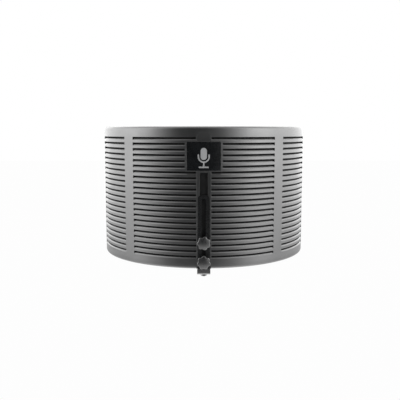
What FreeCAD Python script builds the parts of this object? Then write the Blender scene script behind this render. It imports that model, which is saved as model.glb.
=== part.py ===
import FreeCAD, Part
import math
import os
import re

import Sketcher

# Microphone isolation shield. Millimetres, +Z up, convex back towards -Y, singer's side towards +Y.
# The origin is the mouth of the stand socket, on the stand's axis. The half-round shell and its layers
# share one upright axis, which stands AxisOffset in front of the stand's axis; radii count from there.

SIZES = {
    # Shell
    "ShellRadius": 204.0,
    "ShellHeight": 252.5,
    "ShellBottom": 34.0,
    "ShellSweep": 180.0,
    "AxisOffset": 90.0,
    "WallThickness": 3.0,
    "FlangeInnerRadius": 156.0,
    "TopEdgeRadius": 5.5,
    "BottomEdgeRadius": 4.5,
    "EndBevel": 3.0,
    # Slots, counted down from the top row
    "SlotPitch": 10.0,
    "SlotOpening": 3.4,
    "SlotChamferHeight": 2.0,
    "SlotChamferDepth": 1.6,
    "PlainBand": 20.5,
    "InnerBayStart": 3.75,
    "InnerBayEnd": 39.3,
    "OuterBayStart": 45.8,
    "OuterBayEnd": 77.5,
    "BadgeBayStart": 9.4,
    # Centre pad, recess and window
    "PadWidth": 25.8,
    "PadRise": 2.0,
    "PadTopGap": 10.5,
    "PadCornerWidth": 4.0,
    "PadCornerHeight": 8.0,
    "RecessWidth": 21.2,
    "RecessHeight": 132.4,
    "RecessDepth": 1.0,
    "RecessCornerRadius": 5.8,
    "WindowWidth": 14.8,
    "WindowOverlap": 122.0,
    "WindowTopGap": 1.6,
    # Badge
    "BadgeWidthAngle": 16.33,
    "BadgeHeight": 49.8,
    "BadgeBottom": 209.7,
    "BadgeThickness": 1.7,
    "BadgeSeatRise": 0.4,
    "BadgeGap": 0.2,
    "BadgeGapAngle": 0.2,
    "FrameBorder": 1.8,
    "FrameBorderAngle": 0.76,
    "FrameRise": 2.5,
    "EmblemThickness": 1.0,
    "CapsuleWidth": 11.0,
    "CapsuleHeight": 21.0,
    "CapsuleBottom": 18.5,
    "YokeThickness": 2.4,
    "YokeGap": 2.6,
    "YokeArmHeight": 4.0,
    "StemHeight": 6.5,
    "FootWidth": 17.0,
    # Layers behind the shell
    "LayerGap": 0.2,
    "LayerSweep": 177.0,
    "LayerEndGap": 0.5,
    "FeltThickness": 8.0,
    "FoilThickness": 0.8,
    "AirGap": 15.2,
    "SpacerWidth": 8.0,
    "SpacerStep": 22.0,
    "SheetThickness": 0.8,
    "SheetHoleRadius": 5.0,
    "SheetHoleStep": 9.5,
    "SheetHolePitch": 26.0,
    "SheetHoleMargin": 31.0,
    "AbsorberThickness": 14.6,
    # Inner frame
    "FrameWall": 4.0,
    "RailDepth": 8.0,
    "RailHeight": 10.0,
    "FrameBarHalfAngle": 1.6,
    "FrameBarAngle": 43.35,
    "FramePostAngle": 86.0,
    "FrameScrewRadius": 1.5,
    "FrameScrewLength": 8.5,
    "FrameScrewHeadRadius": 3.0,
    "FrameScrewHeadHeight": 1.9,
    "FrameScrewCircle": 160.0,
    "FrameScrewStep": 40.0,
    "ScrewClearance": 0.2,
    # Spine, studs and their screws
    "SpineWidth": 24.0,
    "SpineThickness": 2.0,
    "SpineBottomGap": 4.0,
    "SpineHeight": 224.0,
    "SpineSideGap": 1.2,
    "StudRadius": 3.0,
    "StudHeadRadius": 5.0,
    "StudHeadThickness": 2.2,
    "StudProtrusion": 12.0,
    "LowerStudHeight": 48.5,
    "UpperStudHeight": 83.0,
    "SpineScrewRadius": 2.0,
    "SpineScrewHeadRadius": 3.5,
    "SpineScrewHeadHeight": 1.8,
    "SpineScrewInset": 11.0,
    # Lift bracket
    "PlateWidth": 21.0,
    "PlateThickness": 3.0,
    "PlateHeight": 142.1,
    "PlateCornerRadius": 5.5,
    "TabWidth": 23.5,
    "TabHeight": 9.6,
    "PlateSlotWidth": 6.8,
    "PlateSlotBottom": 45.3,
    "PlateSlotTop": 160.4,
    "FootBottom": 23.8,
    "FootLength": 36.0,
    "BendRadius": 3.5,
    # Knobs
    "RunningGap": 0.05,
    "WasherRadius": 8.0,
    "WasherThickness": 1.6,
    "KnobCoreRadius": 10.0,
    "KnobLobeRadius": 2.9,
    "KnobLobeCircle": 9.3,
    "KnobLobes": 7.0,
    "UpperKnobTurn": 12.9,
    "LowerKnobTurn": 0.0,
    "KnobHubRadius": 7.4,
    "KnobHubHeight": 3.6,
    "KnobHeadHeight": 10.2,
    "InsertRadius": 4.95,
    "InsertLength": 11.0,
    "InsertHoleGap": 0.02,
    # Arm and its fasteners
    "ArmWidth": 22.0,
    "ArmThickness": 3.2,
    "ArmBack": -112.5,
    "ArmFront": 128.0,
    "ArmCornerRadius": 9.0,
    "ArmSlotWidth": 8.2,
    "StandSlotReach": 44.2,
    "MicSlotBack": 58.8,
    "MicSlotFront": 119.2,
    "BoltRadius": 3.0,
    "BoltHoleRadius": 3.15,
    "BoltHeadFlats": 10.0,
    "BoltHeadHeight": 3.8,
    "BoltNutHeight": 3.0,
    "BoltPointHeight": 0.5,
    "FirstBolt": -106.0,
    "SecondBolt": -86.0,
    # Stand socket and microphone post
    "SocketRadius": 12.0,
    "ThreadRadius": 7.94,
    "ThreadDepth": 18.0,
    "PostStudRadius": 4.0,
    "PostNutFlats": 13.0,
    "PostNutHeight": 6.5,
    "PostWasherRadius": 8.4,
    "PostWasherThickness": 1.6,
    "PostPointHeight": 1.5,
    "PostFlangeRadius": 12.0,
    "PostFlangeHeight": 5.0,
    "PostThreadHeight": 15.0,
    "MicPostPosition": 75.0,
}

SLOT_ROWS = 22
BADGE_ROWS = 5
SPACER_COUNT = 8
SHEET_HOLE_COLUMNS = 18
SHEET_HOLE_ROWS = 8
FRAME_SCREW_STEPS = (-2, -1, 0, 1, 2)
SIDES = (-1, 1)
NEAR = 0.01
UPRIGHT = 0
TO_THE_BACK = 90
ABOUT_X = FreeCAD.Vector(1, 0, 0)
ABOUT_Y = FreeCAD.Vector(0, 1, 0)
ABOUT_Z = FreeCAD.Vector(0, 0, 1)
# A turn of zero would lose its axis, so this one stands in until its formula is bound.
FIRST_TURN = 1

# Heights and radii worked out from the cells above.
SHELL_TOP = "(ShellBottom + ShellHeight)"
SHELL_INNER = "(ShellRadius - WallThickness)"
CAVITY_BOTTOM = "(ShellBottom + WallThickness)"
CAVITY_TOP = "(ShellBottom + ShellHeight - WallThickness)"
LAYER_BOTTOM = "(ShellBottom + WallThickness + LayerEndGap)"
LAYER_TOP = "(ShellBottom + ShellHeight - WallThickness - LayerEndGap)"
TOP_SLOT = "(ShellBottom + ShellHeight - PlainBand)"
RECESS_FLOOR = "(ShellRadius - RecessDepth)"
RECESS_TOP = "(ShellBottom + RecessHeight)"
BADGE_SEAT = "(ShellRadius + BadgeSeatRise)"
BADGE_TOP = "(BadgeBottom + BadgeHeight)"
BADGE_FACE = "(ShellRadius + BadgeSeatRise + RunningGap + BadgeThickness)"
SCREW_SEAT = f"({BADGE_SEAT} - SpineScrewHeadHeight - ScrewClearance)"
SPINE_SCREW_HEIGHTS = ("(BadgeBottom + SpineScrewInset)", f"({BADGE_TOP} - SpineScrewInset)")
FELT_OUTER = "(ShellRadius - WallThickness - LayerGap)"
FELT_INNER = "(ShellRadius - WallThickness - LayerGap - FeltThickness)"
FOIL_OUTER = f"({FELT_INNER} - LayerGap)"
FOIL_INNER = f"({FOIL_OUTER} - FoilThickness)"
SHEET_OUTER = f"({FOIL_INNER} - AirGap)"
SHEET_INNER = f"({SHEET_OUTER} - SheetThickness)"
ABSORBER_OUTER = f"({SHEET_INNER} - LayerGap)"
ABSORBER_INNER = f"({ABSORBER_OUTER} - AbsorberThickness)"
RAIL_TOP = "(ShellBottom + ShellHeight - WallThickness - RunningGap)"
RAIL_BOTTOM = "(ShellBottom + WallThickness + RunningGap)"
SPINE_FRONT = f"({SHELL_INNER} - 2 * LayerGap - RunningGap)"
SPINE_BACK = f"({SPINE_FRONT} - SpineThickness)"
SPINE_BOTTOM = "(ShellBottom + SpineBottomGap)"
PLATE_BACK = f"({RECESS_FLOOR} + RunningGap)"
PLATE_FRONT = f"({PLATE_BACK} + PlateThickness)"
PLATE_TOP = "(FootBottom + PlateHeight)"
WASHER_BACK = f"({PLATE_FRONT} + RunningGap)"
KNOB_BACK = f"({WASHER_BACK} + WasherThickness + RunningGap)"
FOOT_TOP = "(FootBottom + PlateThickness)"
ARM_BOTTOM = FOOT_TOP
ARM_TOP = f"({FOOT_TOP} + ArmThickness)"
THROUGH_WALL = "4 * WallThickness"
THROUGH_SHELL = "2 * ShellHeight"

doc = FreeCAD.newDocument("IsolationShield")
sheet = doc.addObject("Spreadsheet::Sheet", "Sizes")


def fill_sheet():
    for row, (alias, number) in enumerate(SIZES.items(), start=1):
        sheet.set(f"A{row}", alias)
        sheet.set(f"B{row}", str(number))
        sheet.setAlias(f"B{row}", alias)
    doc.recompute()


def formula(text):
    """A size written with the sheet's plain names, in the form that the document's expressions need."""
    return re.sub(r"\b([A-Z][a-z]+(?:[A-Z][a-z]+)+)\b", r"Sizes.\1", text)


def bind(item, target, text):
    item.setExpression(target, formula(text))


def new_body(name, forward="AxisOffset"):
    body = doc.addObject("PartDesign::Body", name)
    body.Label = name
    if forward:
        bind(body, "Placement.Base.y", forward)
    return body


def turned_placement(axis, degrees):
    return FreeCAD.Placement(FreeCAD.Vector(), FreeCAD.Rotation(axis, degrees))


def new_sketch(body, name, role, offset=None, turn=None):
    """A sketch on one of its body's origin planes, moved along the plane's normal or turned about Z."""
    sketch = body.newObject("Sketcher::SketchObject", name)
    plane = next(item for item in body.Origin.OriginFeatures if item.Role == role)
    sketch.AttachmentSupport = [(plane, "")]
    sketch.MapMode = "FlatFace"
    if offset:
        bind(sketch, "AttachmentOffset.Base.z", offset)
    if turn:
        sketch.AttachmentOffset = turned_placement(ABOUT_Y, FIRST_TURN)
        bind(sketch, "AttachmentOffset.Rotation.Angle", turn)
    return sketch


def pin_point(sketch, index, point, across, up):
    """Hold a point of a sketch at two distances from the sketch's origin."""
    for kind, text in (("DistanceX", across), ("DistanceY", up)):
        number = sketch.addConstraint(Sketcher.Constraint(kind, -1, 1, index, point, 1.0))
        bind(sketch, f"Constraints[{number}]", text)


def add_outline(sketch, corners):
    """A closed outline of straight lines, each corner held by its two distances."""
    count = len(corners)
    first = sketch.GeometryCount
    turns = [2 * math.pi * step / count for step in range(count)]
    points = [FreeCAD.Vector(math.cos(turn), math.sin(turn), 0) for turn in turns]
    for step in range(count):
        sketch.addGeometry(Part.LineSegment(points[step], points[(step + 1) % count]))
    for step in range(count):
        following = first + (step + 1) % count
        sketch.addConstraint(Sketcher.Constraint("Coincident", first + step, 2, following, 1))
    for step, (across, up) in enumerate(corners):
        pin_point(sketch, first + step, 1, across, up)


def rectangle(left, right, bottom, top):
    return [(left, bottom), (right, bottom), (right, top), (left, top)]


def add_circle(sketch, across, up, radius):
    index = sketch.addGeometry(Part.Circle(FreeCAD.Vector(), ABOUT_Z, 1.0))
    pin_point(sketch, index, 3, across, up)
    number = sketch.addConstraint(Sketcher.Constraint("Radius", index, 1.0))
    bind(sketch, f"Constraints[{number}]", radius)


def feature(body, kind, name, sketch, bound, **settings):
    item = body.newObject(f"PartDesign::{kind}", name)
    item.Profile = sketch
    for target, setting in settings.items():
        setattr(item, target, setting)
    for target, text in bound.items():
        bind(item, target, text)
    sketch.Visibility = False
    return item


def turned(body, name, outlines, sweep, kind="Revolution", turn=None):
    """Outlines of radius and height, swept evenly to both sides of their plane about the body's Z."""
    sketch = new_sketch(body, f"{name}_profile", "YZ_Plane", turn=turn)
    for outline in outlines:
        add_outline(sketch, [(f"-{radius}", height) for radius, height in outline])
    axis = (sketch, ["V_Axis"])
    return feature(body, kind, name, sketch, {"Angle": sweep}, ReferenceAxis=axis, Midplane=True)


def cut_back(body, name, sketch, depth, outward=False):
    """A pocket from the sketch's plane; outward is towards the plane's normal."""
    doc.recompute()
    before = body.Shape.Volume
    item = feature(body, "Pocket", name, sketch, {"Length": depth}, Reversed=outward)
    doc.recompute()
    if body.Shape.Volume >= before:
        raise RuntimeError(f"{name} removes nothing")
    return item


def edges_where(shape, test):
    return [f"Edge{number}" for number, edge in enumerate(shape.Edges, start=1) if test(edge)]


def round_edges(body, name, radius, test):
    doc.recompute()
    base = body.Tip
    item = body.newObject("PartDesign::Fillet", name)
    item.Base = (base, edges_where(base.Shape, test))
    bind(item, "Radius", radius)
    doc.recompute()
    return item


def size_of(alias):
    return sheet.get(alias)


def cylinder(name, radius, height, lean=UPRIGHT, x="0", y="0", z="0"):
    """A round bar from a point, standing up or leaning to the back."""
    item = doc.addObject("Part::Cylinder", name)
    bind(item, "Radius", radius)
    bind(item, "Height", height)
    item.Placement = turned_placement(ABOUT_X, lean)
    for axis, text in zip("xyz", (x, y, z)):
        bind(item, f"Placement.Base.{axis}", text)
    return item


def box(name, length, width, height, x, y, z):
    item = doc.addObject("Part::Box", name)
    for target, text in (("Length", length), ("Width", width), ("Height", height)):
        bind(item, target, text)
    for axis, text in zip("xyz", (x, y, z)):
        bind(item, f"Placement.Base.{axis}", text)
    return item


def hexagon(name, flats, height, y, z):
    item = doc.addObject("Part::Prism", name)
    item.Polygon = 6
    bind(item, "Circumradius", f"{flats} / sqrt(3)")
    bind(item, "Height", height)
    bind(item, "Placement.Base.y", y)
    bind(item, "Placement.Base.z", z)
    return item


def joined(name, pieces):
    item = doc.addObject("Part::MultiFuse", name)
    item.Shapes = pieces
    return item


def less(name, base, tool):
    item = doc.addObject("Part::Cut", name)
    item.Base = base
    item.Tool = tool
    item.Label = name
    return item


def group(name, pieces):
    item = doc.addObject("Part::Compound", name)
    item.Links = pieces
    item.Label = name
    return item


def slot_section(row):
    """One louvre slot: a square upper lip, and a lower lip bevelled up and out."""
    centre = f"({TOP_SLOT} - {row} * SlotPitch)"
    top = f"({centre} + SlotOpening / 2)"
    bottom = f"({centre} - SlotOpening / 2)"
    inside = f"({SHELL_INNER} - WallThickness)"
    outside = "(ShellRadius + WallThickness)"
    bevel_start = "(ShellRadius - SlotChamferDepth)"
    bevel_end = f"({bottom} - SlotChamferHeight)"
    return [
        (inside, bottom),
        (bevel_start, bottom),
        ("ShellRadius", bevel_end),
        (outside, bevel_end),
        (outside, top),
        (inside, top),
    ]


def cut_slot_rows(body, name, first_row, rows, start, end):
    """Rows of slots on both sides of the centre, between two angles from it."""
    grooves = []
    for side in SIDES:
        turn = f"{side} * ({start} + {end}) / 2"
        label = f"{name}_{'left' if side < 0 else 'right'}"
        grooves.append(turned(body, label, [slot_section(first_row)], f"{end} - {start}", "Groove", turn))
    if rows == 1:
        return
    doc.recompute()
    pattern = body.newObject("PartDesign::LinearPattern", f"{name}_rows")
    pattern.Originals = grooves
    pattern.Direction = (grooves[0].Profile[0], ["V_Axis"])
    pattern.Reversed = True
    pattern.Occurrences = rows
    bind(pattern, "Length", f"{rows - 1} * SlotPitch")
    body.Tip = pattern


def build_outer_shell():
    body = new_body("outer_shell")
    section = [
        ("ShellRadius", "ShellBottom"),
        ("FlangeInnerRadius", "ShellBottom"),
        ("FlangeInnerRadius", CAVITY_BOTTOM),
        (SHELL_INNER, CAVITY_BOTTOM),
        (SHELL_INNER, CAVITY_TOP),
        ("FlangeInnerRadius", CAVITY_TOP),
        ("FlangeInnerRadius", SHELL_TOP),
        ("ShellRadius", SHELL_TOP),
    ]
    turned(body, "shell_wall", [section], "ShellSweep")
    round_rims(body)
    add_end_flanges(body)
    add_centre_pad(body)
    add_badge_frame(body)
    cut_bracket_recess(body)
    cut_shell_holes(body)
    cut_slot_rows(body, "outer_bay", 0, SLOT_ROWS, "OuterBayStart", "OuterBayEnd")
    cut_slot_rows(body, "inner_bay_top", 0, 1, "InnerBayStart", "InnerBayEnd")
    cut_slot_rows(body, "inner_bay_badge", 1, BADGE_ROWS, "BadgeBayStart", "InnerBayEnd")
    below = BADGE_ROWS + 1
    cut_slot_rows(body, "inner_bay", below, SLOT_ROWS - below, "InnerBayStart", "InnerBayEnd")
    return body


def round_rims(body):
    radius = size_of("ShellRadius")
    bottom = size_of("ShellBottom")
    top = bottom + size_of("ShellHeight")

    def on_rim(edge, height):
        level = edge.BoundBox.ZLength < NEAR and abs(edge.CenterOfMass.z - height) < NEAR
        return level and abs(edge.BoundBox.XLength - 2 * radius) < NEAR

    round_edges(body, "top_edge", "TopEdgeRadius", lambda edge: on_rim(edge, top))
    round_edges(body, "bottom_edge", "BottomEdgeRadius", lambda edge: on_rim(edge, bottom))


def add_end_flanges(body):
    """Upright plates that close the wall's two ends, their corners inside the rounded rims."""
    outline = new_sketch(body, "end_flange_outline", "XZ_Plane")
    wall_middle = "(ShellRadius - WallThickness / 2)"
    for side in ("", "-"):
        add_outline(outline, [
            (f"{side}FlangeInnerRadius", "ShellBottom"),
            (f"{side}(ShellRadius - BottomEdgeRadius)", "ShellBottom"),
            (f"{side}{wall_middle}", "ShellBottom + BottomEdgeRadius"),
            (f"{side}{wall_middle}", f"{SHELL_TOP} - TopEdgeRadius"),
            (f"{side}(ShellRadius - TopEdgeRadius)", SHELL_TOP),
            (f"{side}FlangeInnerRadius", SHELL_TOP),
        ])
    feature(body, "Pad", "end_flanges", outline, {"Length": "WallThickness"})
    bevels = new_sketch(body, "end_bevel_outline", "XY_Plane")
    for side in ("", "-"):
        add_outline(bevels, [
            (f"{side}(ShellRadius - EndBevel)", "0"),
            (f"{side}(ShellRadius + EndBevel)", "0"),
            (f"{side}(ShellRadius + EndBevel)", "-2 * EndBevel"),
        ])
    cut_back(body, "end_bevels", bevels, THROUGH_SHELL, outward=True)


def add_centre_pad(body):
    sketch = new_sketch(body, "centre_pad_outline", "XZ_Plane", "ShellRadius - WallThickness / 2")
    half = "PadWidth / 2"
    narrow = "(PadWidth / 2 - PadCornerWidth)"
    top = f"({SHELL_TOP} - PadTopGap)"
    add_outline(sketch, [
        (f"-{half}", "ShellBottom"),
        (half, "ShellBottom"),
        (half, f"{top} - PadCornerHeight"),
        (narrow, top),
        (f"-{narrow}", top),
        (f"-{half}", f"{top} - PadCornerHeight"),
    ])
    feature(body, "Pad", "centre_pad", sketch, {"Length": "WallThickness / 2 + PadRise"})


def add_badge_frame(body):
    frame_low = "(BadgeBottom - BadgeGap - FrameBorder)"
    frame_high = f"({BADGE_TOP} + BadgeGap + FrameBorder)"
    face = "(ShellRadius + FrameRise)"
    seat_sweep = "(BadgeWidthAngle + BadgeGapAngle)"
    ridge = rectangle("(ShellRadius - WallThickness / 2)", face, frame_low, frame_high)
    turned(body, "badge_frame", [ridge], f"{seat_sweep} + 2 * FrameBorderAngle")
    seat_low = "(BadgeBottom - BadgeGap)"
    seat_high = f"({BADGE_TOP} + BadgeGap)"
    seat = rectangle(BADGE_SEAT, "(ShellRadius + 2 * FrameRise)", seat_low, seat_high)
    turned(body, "badge_seat", [seat], seat_sweep, "Groove")


def cut_bracket_recess(body):
    sketch = new_sketch(body, "recess_outline", "XZ_Plane", RECESS_FLOOR)
    half = "RecessWidth / 2"
    add_outline(sketch, rectangle(f"-{half}", half, "ShellBottom - WallThickness", RECESS_TOP))
    cut_back(body, "bracket_recess", sketch, THROUGH_WALL, outward=True)
    half_width = size_of("RecessWidth") / 2
    top = size_of("ShellBottom") + size_of("RecessHeight")

    def at_top_corner(edge):
        centre = edge.CenterOfMass
        short = edge.BoundBox.XLength < NEAR and edge.BoundBox.ZLength < NEAR
        return short and abs(abs(centre.x) - half_width) < NEAR and abs(centre.z - top) < NEAR

    round_edges(body, "recess_corners", "RecessCornerRadius", at_top_corner)
    window = new_sketch(body, "window_outline", "XZ_Plane", f"{SHELL_INNER} - WallThickness")
    half = "WindowWidth / 2"
    low = f"{RECESS_TOP} - WindowOverlap"
    high = "BadgeBottom - BadgeGap - FrameBorder - WindowTopGap"
    add_outline(window, rectangle(f"-{half}", half, low, high))
    cut_back(body, "spine_window", window, THROUGH_WALL, outward=True)


def cut_shell_holes(body):
    inside = f"{SHELL_INNER} - WallThickness"
    screws = new_sketch(body, "spine_screw_circles", "XZ_Plane", inside)
    heads = new_sketch(body, "spine_screw_seats", "XZ_Plane", SCREW_SEAT)
    for height in SPINE_SCREW_HEIGHTS:
        add_circle(screws, "0", height, "SpineScrewRadius + RunningGap")
        add_circle(heads, "0", height, "SpineScrewHeadRadius + ScrewClearance")
    cut_back(body, "spine_screw_holes", screws, THROUGH_WALL, outward=True)
    cut_back(body, "spine_screw_counterbores", heads, THROUGH_WALL, outward=True)
    cut_at_frame_screws(body, "frame_screw_holes", "FrameScrewRadius", None, THROUGH_SHELL)
    sink = "(FrameScrewHeadHeight + RunningGap)"
    top_seat = f"{SHELL_TOP} - {sink}"
    cut_at_frame_screws(body, "top_screw_seats", "FrameScrewHeadRadius", top_seat, f"2 * {sink}")
    bottom_seat = f"ShellBottom - {sink}"
    cut_at_frame_screws(body, "bottom_screw_seats", "FrameScrewHeadRadius", bottom_seat, f"2 * {sink}")


def cut_at_frame_screws(body, name, radius, start, depth):
    """Round holes with a screw's clearance, upwards from a height, at every inner frame screw."""
    circles = new_sketch(body, f"{name}_circles", "XY_Plane", start)
    for step in FRAME_SCREW_STEPS:
        across, back = screw_place(step)
        add_circle(circles, across, back, f"{radius} + ScrewClearance")
    cut_back(body, name, circles, depth, outward=True)


def screw_place(step):
    """Where an inner frame screw stands, measured from the shell's axis."""
    turn = f"{step} * FrameScrewStep"
    return f"FrameScrewCircle * sin({turn})", f"-FrameScrewCircle * cos({turn})"


def build_layer(name, outer, inner, bottom=LAYER_BOTTOM, top=LAYER_TOP):
    body = new_body(name)
    turned(body, f"{name}_wall", [rectangle(inner, outer, bottom, top)], "LayerSweep")
    doc.recompute()
    return body


def build_outer_felt():
    body = build_layer("outer_felt", FELT_OUTER, FELT_INNER)
    sketch = new_sketch(body, "spine_notch", "XZ_Plane", f"{FELT_INNER} - FeltThickness")
    half = "(SpineWidth / 2 + SpineSideGap)"
    top = f"{SPINE_BOTTOM} + SpineHeight + SpineSideGap"
    add_outline(sketch, rectangle(f"-{half}", half, "ShellBottom", top))
    cut_back(body, "felt_notch", sketch, "3 * FeltThickness", outward=True)
    return body


def build_spacer_strips():
    strips = []
    inner = f"({SHEET_OUTER} + LayerGap)"
    depth = "(AirGap - 3 * LayerGap)"
    height = f"{LAYER_TOP} - {LAYER_BOTTOM}"
    for number in range(SPACER_COUNT):
        turn = f"({number} - {(SPACER_COUNT - 1) / 2}) * SpacerStep"
        strip = box(f"spacer_{number + 1}", "SpacerWidth", depth, height, "0", "0", LAYER_BOTTOM)
        strip.Placement = turned_placement(ABOUT_Z, FIRST_TURN)
        far = f"({inner} + {depth})"
        bind(strip, "Placement.Rotation.Angle", turn)
        bind(strip, "Placement.Base.x", f"{far} * sin({turn}) - SpacerWidth / 2 * cos({turn})")
        bind(strip, "Placement.Base.y", f"AxisOffset - {far} * cos({turn}) - SpacerWidth / 2 * sin({turn})")
        bind(strip, "Placement.Base.z", LAYER_BOTTOM)
        strips.append(strip)
    return group("spacer_strips", strips)


def build_perforated_sheet():
    body = build_layer("perforated_sheet", SHEET_OUTER, SHEET_INNER)
    turn = f"{(SHEET_HOLE_COLUMNS - 1) / 2} * SheetHoleStep"
    first = new_sketch(body, "first_hole", "XZ_Plane", f"{SHEET_INNER} - AirGap")
    first.AttachmentOffset = turned_placement(ABOUT_Y, FIRST_TURN)
    bind(first, "AttachmentOffset.Rotation.Angle", f"-({turn})")
    reach = f"({SHEET_INNER} - AirGap)"
    bind(first, "AttachmentOffset.Base.x", f"-{reach} * sin({turn})")
    bind(first, "AttachmentOffset.Base.z", f"{reach} * cos({turn})")
    add_circle(first, "0", f"{LAYER_BOTTOM} + SheetHoleMargin", "SheetHoleRadius")
    hole = cut_back(body, "first_perforation", first, "2 * AirGap", outward=True)
    repeat_perforation(body, hole)
    return body


def repeat_perforation(body, hole):
    """The first hole repeated round the sheet's axis and up it."""
    z_axis = next(item for item in body.Origin.OriginFeatures if item.Role == "Z_Axis")
    columns = body.newObject("PartDesign::PolarPattern", "hole_columns")
    columns.Axis = (z_axis, [""])
    columns.Occurrences = SHEET_HOLE_COLUMNS
    bind(columns, "Angle", f"{SHEET_HOLE_COLUMNS - 1} * SheetHoleStep")
    rows = body.newObject("PartDesign::LinearPattern", "hole_rows")
    rows.Direction = (z_axis, [""])
    rows.Occurrences = SHEET_HOLE_ROWS
    bind(rows, "Length", f"{SHEET_HOLE_ROWS - 1} * SheetHolePitch")
    grid = body.newObject("PartDesign::MultiTransform", "perforations")
    grid.Originals = [hole]
    grid.Transformations = [rows, columns]
    body.Tip = grid


def build_inner_frame():
    """Two rails joined by a thin wall, which the four openings leave as bars and end posts."""
    body = new_body("inner_frame")
    rail_face = "(FlangeInnerRadius + RailDepth)"
    wall_face = "(FlangeInnerRadius + FrameWall)"
    section = [
        ("FlangeInnerRadius", RAIL_BOTTOM),
        (rail_face, RAIL_BOTTOM),
        (rail_face, f"{RAIL_BOTTOM} + RailHeight"),
        (wall_face, f"{RAIL_BOTTOM} + RailHeight"),
        (wall_face, f"{RAIL_TOP} - RailHeight"),
        (rail_face, f"{RAIL_TOP} - RailHeight"),
        (rail_face, RAIL_TOP),
        ("FlangeInnerRadius", RAIL_TOP),
    ]
    turned(body, "frame_section", [section], "LayerSweep")
    opening = rectangle(
        "(FlangeInnerRadius - FrameWall)",
        "(FlangeInnerRadius + 2 * FrameWall)",
        f"{RAIL_BOTTOM} + RailHeight",
        f"{RAIL_TOP} - RailHeight",
    )
    bays = (
        ("inner", "FrameBarHalfAngle", "(FrameBarAngle - FrameBarHalfAngle)"),
        ("outer", "(FrameBarAngle + FrameBarHalfAngle)", "FramePostAngle"),
    )
    for name, start, end in bays:
        for side in SIDES:
            turn = f"{side} * ({start} + {end}) / 2"
            label = f"{name}_opening_{'left' if side < 0 else 'right'}"
            turned(body, label, [opening], f"{end} - {start}", "Groove", turn)
    doc.recompute()
    pilots = new_sketch(body, "pilot_circles", "XY_Plane")
    for step in FRAME_SCREW_STEPS:
        across, back = screw_place(step)
        add_circle(pilots, across, back, "FrameScrewRadius + RunningGap")
    cut_back(body, "pilot_holes", pilots, THROUGH_SHELL, outward=True)
    return body


def build_frame_screws():
    """Screws through the shell's flanges into the frame, their heads sunk flush."""
    screws = []
    for number, step in enumerate(FRAME_SCREW_STEPS, start=1):
        across, back = screw_place(step)
        place = {"x": across, "y": f"AxisOffset + {back}"}
        for level in ("top", "bottom"):
            label = f"{level}_screw_{number}"
            head_z = f"{SHELL_TOP} - FrameScrewHeadHeight" if level == "top" else "ShellBottom"
            shank_z = f"{SHELL_TOP} - FrameScrewLength" if level == "top" else "ShellBottom"
            screws.append(joined(label, [
                cylinder(f"{label}_head", "FrameScrewHeadRadius", "FrameScrewHeadHeight", z=head_z, **place),
                cylinder(f"{label}_shank", "FrameScrewRadius", "FrameScrewLength", z=shank_z, **place),
            ]))
    return group("frame_screws", screws)


def build_spine_plate():
    body = new_body("spine_plate")
    sketch = new_sketch(body, "spine_outline", "XZ_Plane", SPINE_BACK)
    half = "SpineWidth / 2"
    add_outline(sketch, rectangle(f"-{half}", half, SPINE_BOTTOM, f"{SPINE_BOTTOM} + SpineHeight"))
    for height in ("LowerStudHeight", "UpperStudHeight"):
        add_circle(sketch, "0", height, "StudRadius + InsertHoleGap")
    for height in SPINE_SCREW_HEIGHTS:
        add_circle(sketch, "0", height, "SpineScrewRadius + InsertHoleGap")
    feature(body, "Pad", "spine", sketch, {"Length": "SpineThickness"})
    return body


def build_mounting_studs():
    studs = []
    seat_y = f"AxisOffset - {SPINE_BACK}"
    length = f"{PLATE_FRONT} + StudProtrusion - {SPINE_BACK}"
    for name, height in (("lower", "LowerStudHeight"), ("upper", "UpperStudHeight")):
        head = cylinder(f"{name}_stud_head", "StudHeadRadius", "StudHeadThickness", TO_THE_BACK,
                        y=f"{seat_y} + StudHeadThickness", z=height)
        shank = cylinder(f"{name}_stud_shank", "StudRadius", length, TO_THE_BACK, y=seat_y, z=height)
        studs.append(joined(f"{name}_stud", [head, shank]))
    return group("mounting_studs", studs)


def build_spine_screws():
    screws = []
    seat = f"({SCREW_SEAT} + RunningGap)"
    end = f"({SPINE_BACK} - WallThickness / 3)"
    for number, height in enumerate(SPINE_SCREW_HEIGHTS, start=1):
        name = f"spine_screw_{number}"
        head = cylinder(f"{name}_head", "SpineScrewHeadRadius", "SpineScrewHeadHeight", TO_THE_BACK,
                        y=f"AxisOffset - {seat}", z=height)
        shank = cylinder(f"{name}_shank", "SpineScrewRadius", f"{seat} - {end}", TO_THE_BACK,
                         y=f"AxisOffset - {end}", z=height)
        screws.append(joined(name, [head, shank]))
    return group("spine_screws", screws)


def build_badge_plate():
    body = new_body("badge_plate")
    outline = rectangle(f"({BADGE_SEAT} + RunningGap)", BADGE_FACE, "BadgeBottom", BADGE_TOP)
    turned(body, "badge_wall", [outline], "BadgeWidthAngle")
    return body


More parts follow.
